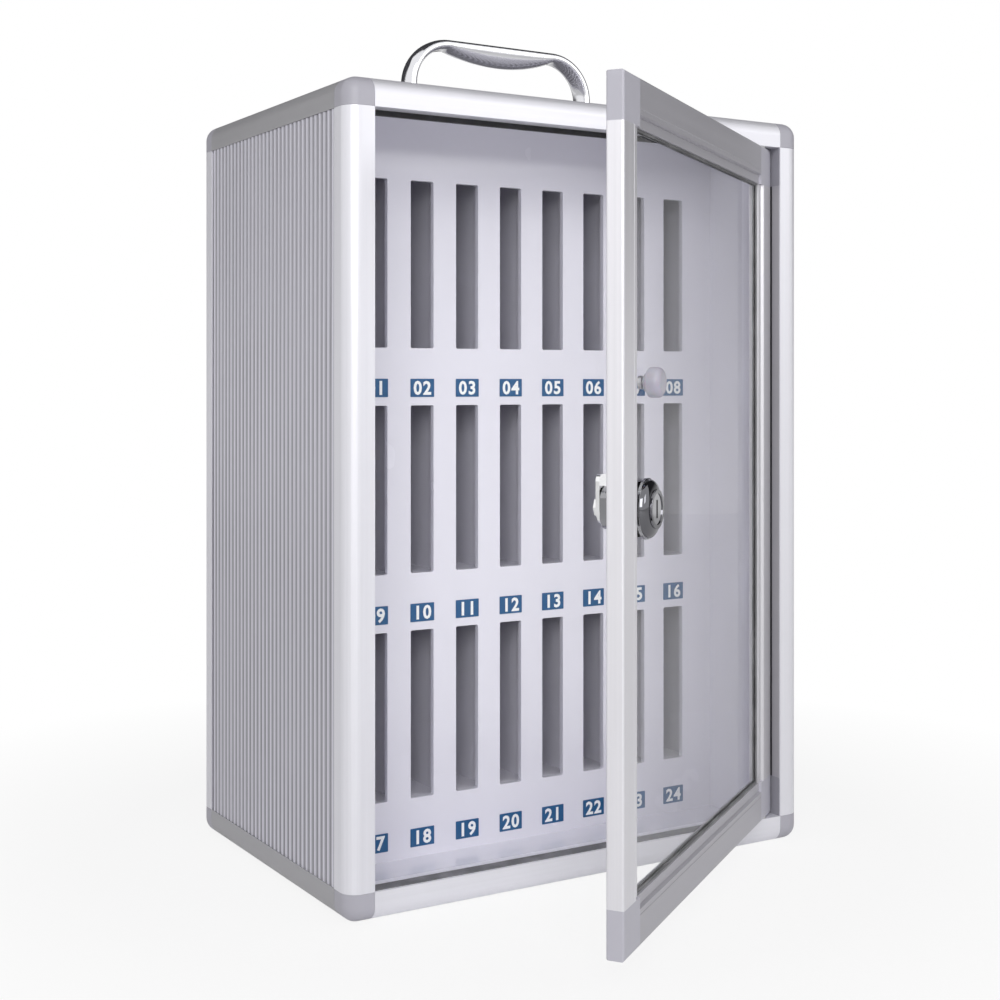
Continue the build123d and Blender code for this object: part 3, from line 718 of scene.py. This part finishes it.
def empty_shelf(shelf):
    """Removes the small source meshes of a collection once they are used."""
    for thing in list(shelf.objects):
        bpy.data.objects.remove(thing)
    bpy.data.collections.remove(shelf)


# ------------------------------------------------------------------ settings

def length(name, description, default):
    return FloatProperty(name=name, description=description, subtype="DISTANCE", unit="LENGTH",
                         default=default)


def colour(name, description, default):
    return FloatVectorProperty(name=name, description=description, subtype="COLOR", size=3,
                               default=default)


class LockerFrameSettings(bpy.types.PropertyGroup):
    """Colours and rounding of the edge frame."""
    metal: colour("Metal", "Colour of the anodised bars", (0.88, 0.875, 0.93))
    # Painted shade: the side rails take a darker copy of the bars' metal, standing in for the shade
    # on them.
    side_metal: colour("Side metal", "Colour of the side rails", (0.48, 0.475, 0.495))
    plastic: colour("Corner plastic", "Colour of the corner blocks", (0.51, 0.50, 0.56))
    rounding: length("Rounding", "Radius of the outer edges", 0.008)


class LockerSheetSettings(bpy.types.PropertyGroup):
    """Sizes and colour of the reeded outer sheets."""
    pitch: length("Reed pitch", "Distance from one reed to the next", 0.005)
    height: length("Reed height", "Height of a reed over the sheet", 0.0006)
    plate: length("Sheet", "Thickness of the sheet under the reeds", 0.0012)
    color: colour("Sheet colour", "Colour of the reeded sheet", (0.65, 0.64, 0.71))


class LockerRackSettings(bpy.types.PropertyGroup):
    """Boards, number plates and figures of the rack."""
    columns: IntProperty(name="Columns", description="Slots in a row", default=8)
    rows: IntProperty(name="Rows", description="Rows of slots", default=3)
    board: colour("Board", "Colour of the white boards", (0.80, 0.79, 0.87))
    plate_width: length("Plate width", "Width of a number plate", 0.014)
    plate_height: length("Plate height", "Height of a number plate", 0.0095)
    plate_corner: length("Plate corner", "Corner radius of a plate", 0.0003)
    ink: colour("Plate colour", "Colour of the number plates", (0.012, 0.095, 0.245))
    figure: colour("Figure colour", "Colour of the numbers", (0.93, 0.96, 0.97))
    figure_height: length("Figure height", "Height of the numbers", 0.0070)
    figure_weight: length("Figure weight", "Thickening of the strokes", 0.00030)
    figure_gap: length("Figure gap", "From one figure to the next", 0.0056)
    relief: length("Relief", "Thickness of the printed figures", 0.00003)


class LockerHandleSettings(bpy.types.PropertyGroup):
    """Shape and plating of the carrying handle."""
    band: length("Band", "Thickness of the handle's band", 0.0056)
    bend: length("Bend", "Outer radius of the handle's bends", 0.026)
    belly: length("Belly", "Depth of the grip at its middle", 0.012)
    plating: colour("Plating", "Colour of the bright plating", (0.80, 0.80, 0.83))


class LockerDoorSettings(bpy.types.PropertyGroup):
    """Colours of the door and sizes of its knob."""
    metal: colour("Door metal", "Colour of the door's stiles", (0.86, 0.85, 0.89))
    # Painted shade: the door's cross bars take a darker copy of the stiles' metal, standing in for
    # the shade on them.
    rail_metal: colour("Door rails", "Colour of the cross bars", (0.54, 0.53, 0.57))
    plastic: colour("Door corner", "Colour of the door's corners", (0.60, 0.59, 0.66))
    knob: colour("Knob", "Colour of the pull knob", (0.72, 0.70, 0.80))
    knob_radius: length("Knob radius", "Radius of the pull knob", 0.0067)
    knob_rise: length("Knob rise", "Height of the knob over the pane", 0.0082)


class LockerLockSettings(bpy.types.PropertyGroup):
    """Sizes and plating of the cam lock's turned face."""
    flange: length("Flange", "Radius of the lock's flange", 0.0134)
    rise: length("Rise", "Height of the lock over the pane", 0.00566)
    # Painted reflection: the lock's chrome gets a dark colour, standing in for the dark
    # surroundings it reflects.
    plating: colour("Lock plating", "Colour of the lock's plating", (0.18, 0.18, 0.195))


class LockerStageSettings(bpy.types.PropertyGroup):
    """Camera, light and ground."""
    eye: FloatVectorProperty(name="Eye", description="Place of the camera", subtype="XYZ",
                             unit="LENGTH", size=3, default=(-0.45785, -0.75481, 0.25474))
    turn: FloatProperty(name="Turn", description="Camera turn about the upright axis",
                        subtype="ANGLE", unit="ROTATION", default=math.radians(-31.112))
    lens: FloatProperty(name="Lens", description="Focal length in millimetres", default=56.196)
    shift_x: FloatProperty(name="Shift X", description="Sideways shift of the view",
                           default=0.0054)
    shift_y: FloatProperty(name="Shift Y", description="Upward shift of the view",
                           default=-0.1169)
    ground: colour("Ground", "Colour of the floor", (0.86, 0.86, 0.86))
    key: FloatProperty(name="Key", description="Power of the main lamp in watts", default=17.5)
    fill: FloatProperty(name="Fill", description="Power of the side lamp in watts", default=4.0)
    sky: FloatProperty(name="Sky", description="Brightness of the surrounding light",
                       default=0.34)


SETTINGS = {"locker_frame": LockerFrameSettings, "locker_sheets": LockerSheetSettings,
            "locker_rack": LockerRackSettings, "locker_handle": LockerHandleSettings,
            "locker_door": LockerDoorSettings, "locker_lock": LockerLockSettings,
            "locker_stage": LockerStageSettings}


# ------------------------------------------------------------------ operators

CORNER_ROUGH = 0.42


class LOCKER_OT_frame(bpy.types.Operator):
    """Finish the edge bars and mould the ball-cornered blocks that join them"""
    bl_idname = "locker.frame"
    bl_label = "Edge frame"

    def execute(self, context):
        settings = context.scene.locker_frame
        for nodes, name, color, grain in (
                (POSTS, "satin_posts", settings.metal, GRAIN_THIRD),
                (CROSS_RAILS, "satin_cross_rails", settings.metal, GRAIN_FIRST),
                # the side rails' darker colour is painted shade
                (SIDE_RAILS, "satin_side_rails", settings.side_metal, GRAIN_SECOND)):
            soften(nodes, satin_extrusion(name, color, grain), CABINET)
        plastic = moulded_plastic("moulded_corner", settings.plastic, CORNER_ROUGH)
        for node in CORNERS:
            inward = (1 if "left" in node else -1, 1 if "front" in node else -1,
                      1 if "bottom" in node else -1)
            outer = (-inward[0] * HALF_WIDTH, -inward[1] * HALF_DEPTH,
                     0.0 if "bottom" in node else BOX_TOP)
            mesh = ball_corner(node + "_moulded", outer, inward, FRAME_SIDE, settings.rounding)
            piece_from(node + "_moulded", mesh, plastic, CABINET, (node,))
        return {"FINISHED"}


class LOCKER_OT_sheets(bpy.types.Operator):
    """Roll the reeded outer sheets and finish the plain bottom sheet"""
    bl_idname = "locker.sheets"
    bl_label = "Outer sheets"

    def execute(self, context):
        settings = context.scene.locker_sheets
        color = settings.color
        pitch = settings.pitch
        upright = rolled_sheet("reeded_side_sheet", color, ROLLED_UPRIGHT, DEEP, pitch)
        rear = rolled_sheet("reeded_rear_sheet", color, ROLLED_UPRIGHT, ACROSS, pitch)
        top = rolled_sheet("reeded_top_sheet", color, ROLLED_TOP, ACROSS, pitch)
        width = 2 * (HALF_WIDTH - FRAME_SIDE)
        depth = 2 * (HALF_DEPTH - FRAME_SIDE)
        height = BOX_TOP - 2 * FRAME_SIDE
        # Size across the reeds and along them, the directions across, outward and along
        faces = {
            "left_panel": (depth, height, (0, 1, 0), (-1, 0, 0), (0, 0, 1), upright),
            "right_panel": (depth, height, (0, -1, 0), (1, 0, 0), (0, 0, 1), upright),
            "rear_panel": (width, height, (-1, 0, 0), (0, 1, 0), (0, 0, 1), rear),
            "top_panel": (width, depth, (-1, 0, 0), (0, 0, 1), (0, 1, 0), top),
        }
        for node, (across, run, side, out, along, material) in faces.items():
            mesh = reeded_mesh(node + "_reeds", across, run, pitch, settings.height,
                               settings.plate, material)
            low, high, middle = box_of(node)
            out = Vector(out)
            crest = max(low.dot(out), high.dot(out)) - settings.height
            origin = middle + out * (crest - middle.dot(out)) - Vector(along) * run / 2
            turn = Matrix((side, tuple(out), along)).transposed().to_4x4()
            mesh.transform(Matrix.Translation(origin) @ turn)
            if turn.determinant() < 0:
                mesh.flip_normals()
            piece_from(node + "_reeded", mesh, None, CABINET, (node,))
        dress(["bottom_panel"], rolled_sheet("plain_sheet", PLAIN_SHEET, ROLLED_UPRIGHT))
        return {"FINISHED"}


CRATE_PAINTED_SHADE = 0.90           # painted shade: the crossing boards inside the slots are a darker copy of the front's colour


class LOCKER_OT_boards(bpy.types.Operator):
    """Laminate the lining, the rack's front and its cross-lapped boards"""
    bl_idname = "locker.boards"
    bl_label = "Lining and rack"

    def execute(self, context):
        color = tuple(context.scene.locker_rack.board)
        shaded_crate = tuple(CRATE_PAINTED_SHADE * part for part in color)
        dress(BOARDS, glossy_board("lining_laminate", color, rough=0.22, coat=0.3))
        dress(["rack_front_panel"], glossy_board("rack_laminate", color, rough=0.26, coat=0.2))
        dress(["rack_dividers", "rack_shelves"], glossy_board("crate_board", shaded_crate, rough=0.38))
        return {"FINISHED"}


class LOCKER_OT_numbers(bpy.types.Operator):
    """Number the slots: blank plates in a grid and two figures on each"""
    bl_idname = "locker.numbers"
    bl_label = "Number plates"

    def execute(self, context):
        settings = context.scene.locker_rack
        low, high, middle = box_of("number_plates")
        span = high - low
        grid = {"Columns": settings.columns, "Rows": settings.rows,
                "Column Pitch": (span.x - settings.plate_width) / (settings.columns - 1),
                "Row Pitch": (span.z - settings.plate_height) / (settings.rows - 1)}
        upright = Matrix.Rotation(math.radians(90.0), 4, "X")
        plates = plates_mesh(grid, settings.plate_width, settings.plate_height, span.y,
                             settings.plate_corner,
                             printed_ink("plate_ink", settings.ink))
        plates.transform(Matrix.Translation((middle.x, high.y, middle.z)) @ upright)
        piece_from("number_plates_printed", plates, None, CABINET,
                   ("number_plates",))
        shelf = glyph_collection(settings.figure_height, settings.figure_weight, settings.relief)
        figures = figures_mesh(grid, shelf, settings.figure_gap,
                              printed_ink("figure_ink", settings.figure))
        figures.transform(Matrix.Translation((middle.x, low.y, middle.z)) @ upright)
        empty_shelf(shelf)
        piece_from("slot_numbers", figures, None, CABINET)
        return {"FINISHED"}


HANDLE_AROUND = 40           # corners of a section of the handle
HANDLE_LEG_STEPS = 4
HANDLE_BEND_STEPS = 16
HANDLE_GRIP_STEPS = 40
HANDLE_SQUARENESS = 0.62     # 1 is an oval section, nearer 0 is a square one
HANDLE_ROUND = 0.85          # the same for the outer side
HANDLE_FULLNESS = 0.9        # lower carries the belly's depth nearer to the bends
HANDLE_SHARP = 50.0
HANDLE_ROUGH = 0.11


class LOCKER_OT_handle(bpy.types.Operator):
    """Forge the carrying handle: a rounded band with a keel-shaped grip"""
    bl_idname = "locker.handle"
    bl_label = "Carrying handle"

    def execute(self, context):
        settings = context.scene.locker_handle
        mesh = handle_mesh("handle_forged", settings.band, settings.bend, settings.belly)
        plating = bright_plating("handle_plating", settings.plating, HANDLE_ROUGH)
        piece_from("carry_handle_forged", mesh, plating, CABINET, ("carry_handle",))
        dress(["handle_screws"], zinc_steel("handle_screw_steel"))
        return {"FINISHED"}


def handle_mesh(name, band, bend, belly):
    """Sections set along the handle's outer line, each with its own depth and keel."""
    low, high, middle = box_of("carry_handle")
    half = (high.x - low.x) / 2
    grip = half - bend
    stations = []
    for k in range(HANDLE_LEG_STEPS):
        stations.append((-half, low.z + (high.z - bend - low.z) * k / HANDLE_LEG_STEPS, 0.0))
    for k in range(HANDLE_BEND_STEPS):
        turn = math.pi / 2 * k / HANDLE_BEND_STEPS
        stations.append((-grip - bend * math.cos(turn),
                         high.z - bend + bend * math.sin(turn), turn))
    mirrored = [(-x, z, math.pi - turn) for x, z, turn in reversed(stations)]
    for k in range(HANDLE_GRIP_STEPS + 1):
        stations.append((-grip + 2 * grip * k / HANDLE_GRIP_STEPS, high.z, math.pi / 2))
    breadth = (high.y - low.y) / 2
    shape = bmesh.new()
    rings = []
    for x, z, turn in stations + mirrored:
        inward = Vector((math.cos(turn), 0.0, -math.sin(turn)))
        share = max(0.0, 1.0 - (x / grip) ** 2) if abs(x) < grip else 0.0
        swell = share ** HANDLE_FULLNESS
        depth = band + (belly - band) * swell
        ring = []
        for k in range(HANDLE_AROUND):
            angle = 2 * math.pi * k / HANDLE_AROUND
            across = math.cos(angle)
            down = math.sin(angle)
            power = HANDLE_ROUND if down < 0 else HANDLE_SQUARENESS * (1 - swell) + swell
            across = math.copysign(abs(across) ** power, across)
            down = math.copysign(abs(down) ** power, down)
            if down < 0:
                inset = band / 2 * (1 + down)
            else:
                inset = band / 2 + (depth - band / 2) * down
            ring.append(shape.verts.new(Vector((middle.x + x, middle.y + breadth * across, z))
                                        + inward * inset))
        rings.append(ring)
    bridge(shape, rings)
    shape.faces.new(rings[0])
    shape.faces.new(rings[-1])
    bmesh.ops.recalc_face_normals(shape, faces=shape.faces)
    return mesh_from(shape, name, HANDLE_SHARP)


FREE_STILE_METALLIC = 0.7
HINGE_STILE_METALLIC = 0.5
# Painted shade: the hinge stile is a darker copy of the door's metal, standing in for the shade
# beside the hinge.
HINGE_STILE_PAINTED_SHADE = 0.8      # shares of the settings' own colours
# Painted shade: the hinge cheeks are a darker copy of the door's corner plastic, standing in for
# the shade beside the hinge.
CHEEK_PAINTED_SHADE = 0.55
CHEEK_ROUGH = 0.45
# Painted shade: the liner on the hinge post's inner face is the frame's aluminium in a dark colour,
# standing in for the shade between post and door.
LINER_PAINTED_SHADE = (0.48, 0.47, 0.50)
CHEEK_HEIGHT = 0.021
CHEEK_FRONT = 0.0008         # distances behind the cabinet's front face
LINER_BACK = 0.0066
CHEEK_BACK = 0.0086
STRIP_THICKNESS = 0.00035
STRIP_BEVEL = 0.3            # share of the thickness


class LOCKER_OT_door(bpy.types.Operator):
    """Finish the door's bars, corners, gasket and pane, and the trim beside its hinge"""
    bl_idname = "locker.door"
    bl_label = "Door"

    def execute(self, context):
        settings = context.scene.locker_door
        # the hinge stile's darker metal is painted shade
        shaded_hinge_metal = tuple(HINGE_STILE_PAINTED_SHADE * part for part in settings.metal)
        dress(["door_free_stile"], satin_extrusion("satin_free_stile", settings.metal,
                                                   GRAIN_THIRD, DOOR_AXES,
                                                   FREE_STILE_METALLIC))
        dress(["door_hinge_stile"], satin_extrusion("satin_hinge_stile", shaded_hinge_metal, GRAIN_THIRD,
                                                    DOOR_AXES, HINGE_STILE_METALLIC))
        # the cross bars' darker colour is painted shade
        dress(DOOR_RAILS, satin_extrusion("satin_door_rails", settings.rail_metal,
                                          GRAIN_FIRST, DOOR_AXES))
        dress(DOOR_CORNERS, moulded_plastic("moulded_door_corner", settings.plastic,
                                            CORNER_ROUGH))
        dress(["door_seals"], extruded_rubber("seal_rubber"))
        dress(["pane_gasket"], extruded_rubber("gasket_rubber", GASKET))
        dress(["sill_strip"], extruded_rubber("sill_rubber", SILL))
        dress(["door_pane"], clear_acrylic("clear_pane"))
        heights = (FRAME_SIDE, FRAME_SIDE + CHEEK_HEIGHT,
                   BOX_TOP - FRAME_SIDE - CHEEK_HEIGHT, BOX_TOP - FRAME_SIDE)
        ends, between = (heights[:2], heights[2:]), (heights[1:3],)
        # the cheeks' darker plastic is painted shade
        shaded_cheek = moulded_plastic("cheek_plastic",
                                tuple(CHEEK_PAINTED_SHADE * part for part in settings.plastic),
                                CHEEK_ROUGH)
        # the liner's dark colour is painted shade
        shaded_liner = satin_extrusion("satin_liner", LINER_PAINTED_SHADE, GRAIN_THIRD)
        # a thin black strip along the dark line in the gap between the hinge post and the door
        dark_strip = extruded_rubber("bead_rubber")
        for name, spans, front, back, material, slot in (
                ("hinge_cheeks", ends, CHEEK_FRONT, CHEEK_BACK, shaded_cheek, "corner_plastic"),
                ("hinge_liner", between, CHEEK_FRONT, LINER_BACK, shaded_liner, "frame_aluminium"),
                ("hinge_bead", between, LINER_BACK, CHEEK_BACK, dark_strip, "rubber")):
            piece_from(name, strip_mesh(name, spans, front, back), material, CABINET)
        dress(["hinge_pins"], zinc_steel("pin_steel"))
        dress(["hinge_washers"], moulded_plastic("washer_nylon", NYLON, rough=0.5))
        dress(["lock_keeper", "keeper_screws"], zinc_steel("keeper_steel"))
        return {"FINISHED"}


def strip_mesh(name, spans, front, back):
    """Thin bevelled plates on the hinge post's inner side, each between two heights."""
    inner = HALF_WIDTH - FRAME_SIDE
    shape = bmesh.new()
    for low_z, high_z in spans:
        for corner in bmesh.ops.create_cube(shape, size=1.0)["verts"]:
            across, deep, high = corner.co + Vector((0.5, 0.5, 0.5))
            corner.co = Vector((inner - STRIP_THICKNESS * (1.0 - across),
                                -HALF_DEPTH + front + (back - front) * deep,
                                low_z + (high_z - low_z) * high))
    bmesh.ops.bevel(shape, geom=shape.edges, offset=STRIP_THICKNESS * STRIP_BEVEL, segments=2,
                    affect="EDGES")
    bmesh.ops.recalc_face_normals(shape, faces=shape.faces)
    return mesh_from(shape, name)


LOCK_BORE = 0.00685          # round hole for the plug's head
FLANGE_RIM = 0.0011          # height of the flange's upright edge
FLANGE_STEP = 0.0004         # step between the edge and the dome
DOME_STEPS = 18
DOME_POWER = 2.5             # 2 is an oval dome, higher a squarer one
COLLAR_RADIUS = 0.00868      # collar round the plug
COLLAR_STEP = 0.0002         # the dome's own top, under the collar's
COLLAR_EDGE = 0.00018        # bevel on the collar's two edges
LOCK_AROUND = 96
LOCK_SHARP = 24.0


class LOCKER_OT_lock(bpy.types.Operator):
    """Turn the lock's plated bell and finish its plug, nut, cam and screw"""
    bl_idname = "locker.lock"
    bl_label = "Cam lock"

    def execute(self, context):
        settings = context.scene.locker_lock
        flange, rise = settings.flange, settings.rise
        crown = flange - FLANGE_STEP
        dome = rise - COLLAR_STEP - FLANGE_RIM
        outline = [(LOCK_BORE, 0.0), (flange, 0.0), (flange, FLANGE_RIM)]
        for k in range(DOME_STEPS + 1):
            radius = crown + (COLLAR_RADIUS - crown) * k / DOME_STEPS
            fall = (1.0 - (radius / crown) ** DOME_POWER) ** (1.0 / DOME_POWER)
            outline.append((radius, FLANGE_RIM + dome * fall))
        outline += [(COLLAR_RADIUS, rise - COLLAR_EDGE), (COLLAR_RADIUS - COLLAR_EDGE, rise),
                    (LOCK_BORE + COLLAR_EDGE, rise), (LOCK_BORE, rise - COLLAR_EDGE),
                    (LOCK_BORE, 0.0)]
        mesh = lathe("lock_bell", outline, LOCK_POINT, OUTWARD, LOCK_AROUND, LOCK_SHARP)
        # the dark plating colour is a painted reflection
        plating = bright_plating("lock_plating", settings.plating, rough=0.04)
        piece_from("lock_bell_plated", mesh, plating, DOOR)
        dress(["lock_body", "lock_plug", "lock_nut"],
              bright_plating("lock_inner_plating", LOCK_INNER, rough=0.06))
        dress(["lock_cam", "cam_screw"], bright_plating("cam_plating", CAM, rough=0.16))
        return {"FINISHED"}


KNOB_NECK = 0.0040           # radius of the knob's neck
KNOB_NECK_RISE = 0.0012      # height of the neck under the head
KNOB_UNDER = 0.0016          # rounding under the head
KNOB_CROWN = 0.0028          # rounding of the head's face
KNOB_STEPS = 8
KNOB_AROUND = 72
KNOB_SHARP = 35.0


class LOCKER_OT_knob(bpy.types.Operator):
    """Turn the frosted pull knob and finish its screw"""
    bl_idname = "locker.knob"
    bl_label = "Pull knob"

    def execute(self, context):
        settings = context.scene.locker_door
        middle = box_of("pull_knob")[2]
        wide, rise = settings.knob_radius, settings.knob_rise
        base = LOCK_POINT + UP * (middle.z - LOCK_POINT.z)
        outline = [(0.0, 0.0), (KNOB_NECK, 0.0), (KNOB_NECK, KNOB_NECK_RISE)]
        turns = [math.pi / 2 * k / KNOB_STEPS for k in range(KNOB_STEPS + 1)]
        outline += [(wide - KNOB_UNDER * (1 - math.sin(turn)),
                     KNOB_NECK_RISE + KNOB_UNDER * (1 - math.cos(turn))) for turn in turns]
        outline += [(wide - KNOB_CROWN * (1 - math.cos(turn)),
                     rise - KNOB_CROWN * (1 - math.sin(turn))) for turn in turns]
        outline.append((0.0, rise))
        mesh = lathe("knob_turned", outline, base, OUTWARD, KNOB_AROUND, KNOB_SHARP)
        plastic = frosted_plastic("knob_plastic", settings.knob)
        piece_from("pull_knob_turned", mesh, plastic, DOOR, ("pull_knob",))
        dress(["knob_screw"], zinc_steel("knob_screw_steel"))
        return {"FINISHED"}


FLOOR_RADIUS = 9.0
FLOOR_AROUND = 96
FLOOR_FADE = (0.22, 0.45)    # distances over which the floor turns plain white
FLOOR_GLOW = 0.86            # share of plain white in the floor beside the object
FLOOR_SHEEN = 0.35           # share of that glow which gloss sees
WHITE = (1.0, 1.0, 1.0, 1.0)
KEY_PLACE, KEY_SIZE = (-1.05, -1.65, 1.05), 1.1
FILL_PLACE, FILL_SIZE = (1.0, -1.75, 0.95), 0.7
SENSOR_WIDTH = 36.0          # millimetres
CLIP_START = 0.01
CARD_FADE = (0.0, 0.75)      # heights over which a card goes from pale to dark
CARD_PALE = (0.95, 0.95, 0.95, 1.0)
CARD_DARK = (0.05, 0.05, 0.055, 1.0)
# Dark studio cards that only polished surfaces see: low and high corners
DARK_CARDS = {
    "card_right": ((2.2, -0.9, 0.0), (2.2, 3.0, 2.4)),
    "card_back": ((-1.6, 2.6, 0.0), (2.2, 2.6, 2.4)),
    "card_top": ((-0.6, -0.6, 2.4), (2.2, 2.6, 2.4)),
}


class LOCKER_OT_stage(bpy.types.Operator):
    """Set the floor, the soft lamps, the surrounding light and the camera"""
    bl_idname = "locker.stage"
    bl_label = "Stage"

    def execute(self, context):
        settings = context.scene.locker_stage
        scene = context.scene
        scene.view_settings.view_transform = "Standard"
        build_floor(settings.ground)
        build_world(scene, settings.sky)
        aim = Vector((0.0, 0.0, BOX_TOP * 0.5))
        soft_lamp("key", settings.key, KEY_PLACE, aim, KEY_SIZE)
        soft_lamp("fill", settings.fill, FILL_PLACE, aim, FILL_SIZE)
        for name, corners in DARK_CARDS.items():
            dark_card(name, corners)
        view = bpy.data.cameras.new("view")
        view.lens = settings.lens
        view.sensor_width = SENSOR_WIDTH
        view.shift_x = settings.shift_x
        view.shift_y = settings.shift_y
        view.clip_start = CLIP_START
        eye = placed_object("view", view)
        eye.location = settings.eye
        eye.rotation_euler = (math.radians(90.0), 0.0, settings.turn)
        scene.camera = eye
        return {"FINISHED"}


def build_world(scene, sky):
    """White surroundings to the eye, to gloss and to glass, and a softer light on matt faces."""
    world = bpy.data.worlds.new("studio")
    scene.world = world
    world.use_nodes = True
    nodes = world.node_tree.nodes
    links = world.node_tree.links
    path = nodes.new("ShaderNodeLightPath")
    shown = path.outputs["Is Camera Ray"]
    for ray in ("Is Glossy Ray", "Is Transmission Ray"):
        either = nodes.new("ShaderNodeMath")
        either.operation = "MAXIMUM"
        links.new(shown, either.inputs[0])
        links.new(path.outputs[ray], either.inputs[1])
        shown = either.outputs[0]
    level = nodes.new("ShaderNodeMapRange")
    level.inputs["To Min"].default_value = sky
    level.inputs["To Max"].default_value = 1.0
    links.new(shown, level.inputs["Value"])
    background = nodes["Background"]
    background.inputs["Color"].default_value = WHITE
    links.new(level.outputs["Result"], background.inputs["Strength"])


def build_floor(color):
    """Round pale floor that keeps the shadow and fades to white towards its rim."""
    shape = bmesh.new()
    bmesh.ops.create_circle(shape, cap_ends=True, segments=FLOOR_AROUND,
                            radius=FLOOR_RADIUS)
    mesh = mesh_from(shape, "floor")
    finish = Finish("pale_floor")
    distance = finish.add("ShaderNodeVectorMath", operation="LENGTH")
    finish.links.new(finish.place, distance.inputs[0])
    fade = finish.spread(distance.outputs["Value"], FLOOR_FADE, FLOOR_GLOW, 1.0)
    grain = finish.noise(scale=30.0)
    finish.set(base_color=finish.tint(grain, color, 0.985, 1.01),
               roughness=0.7, specular_ior_level=0.2)
    path = finish.add("ShaderNodeLightPath")
    sheen = finish.math("MULTIPLY", path.outputs["Is Glossy Ray"], FLOOR_SHEEN)
    seen = finish.math("MAXIMUM", path.outputs["Is Camera Ray"], sheen)
    seen = finish.math("MAXIMUM", seen, path.outputs["Is Transmission Ray"])
    glow = finish.add("ShaderNodeEmission")
    mix = finish.add("ShaderNodeMixShader")
    finish.links.new(finish.math("MULTIPLY", fade, seen), mix.inputs[0])
    finish.links.new(finish.shader.outputs[0], mix.inputs[1])
    finish.links.new(glow.outputs[0], mix.inputs[2])
    finish.links.new(mix.outputs[0], finish.output.inputs["Surface"])
    mesh.materials.append(finish.material)
    placed_object("floor", mesh)


def dark_card(name, corners):
    """Upright or level card that gloss reflects and nothing else sees."""
    low, high = (Vector(corner) for corner in corners)
    flat = min(range(3), key=lambda k: abs(high[k] - low[k]))
    one, two = [k for k in range(3) if k != flat]
    points = []
    for a, b in ((low, low), (high, low), (high, high), (low, high)):
        point = low.copy()
        point[one], point[two] = a[one], b[two]
        points.append(point)
    mesh = bpy.data.meshes.new(name)
    mesh.from_pydata(points, [], [(0, 1, 2, 3)])
    finish = Finish(name + "_cloth")
    lift = finish.spread(finish.along(HIGH), CARD_FADE)
    glow = finish.add("ShaderNodeEmission")
    finish.join(finish.blend(lift, CARD_PALE, CARD_DARK), glow.inputs["Color"])
    finish.links.new(glow.outputs[0], finish.output.inputs["Surface"])
    mesh.materials.append(finish.material)
    card = placed_object(name, mesh)
    card.visible_camera = False
    card.visible_diffuse = False
    card.visible_transmission = False
    card.visible_shadow = False


def soft_lamp(name, power, place, aim, size):
    """Square area lamp turned to a point."""
    lamp = bpy.data.lights.new(name, "AREA")
    lamp.energy = power
    lamp.size = size
    thing = placed_object(name, lamp)
    thing.location = place
    thing.rotation_euler = (aim - Vector(place)).to_track_quat("-Z", "Y").to_euler()


# ------------------------------------------------------------------ add-on

OPERATORS = (LOCKER_OT_frame, LOCKER_OT_sheets, LOCKER_OT_boards, LOCKER_OT_numbers,
             LOCKER_OT_handle, LOCKER_OT_door, LOCKER_OT_lock, LOCKER_OT_knob, LOCKER_OT_stage)


class LOCKER_PT_panel(bpy.types.Panel):
    """Lists the locker's pieces and their settings"""
    bl_idname = "LOCKER_PT_panel"
    bl_label = "Phone locker"
    bl_space_type = "VIEW_3D"
    bl_region_type = "UI"
    bl_category = "Locker"

    def draw(self, context):
        for operator in OPERATORS:
            self.layout.operator(operator.bl_idname)
        for key, group in SETTINGS.items():
            box = self.layout.box()
            box.label(text=group.__doc__)
            for field in group.__annotations__:
                box.prop(getattr(context.scene, key), field)


CLASSES = (*SETTINGS.values(), *OPERATORS, LOCKER_PT_panel)


def register():
    for item in CLASSES:
        bpy.utils.register_class(item)
    for key, group in SETTINGS.items():
        setattr(bpy.types.Scene, key, PointerProperty(type=group))


def unregister():
    for key in SETTINGS:
        delattr(bpy.types.Scene, key)
    for item in reversed(CLASSES):
        bpy.utils.unregister_class(item)


def main():
    register()
    for operator in OPERATORS:
        family, name = operator.bl_idname.split(".")
        getattr(getattr(bpy.ops, family), name)()


if __name__ == "__main__":
    main()
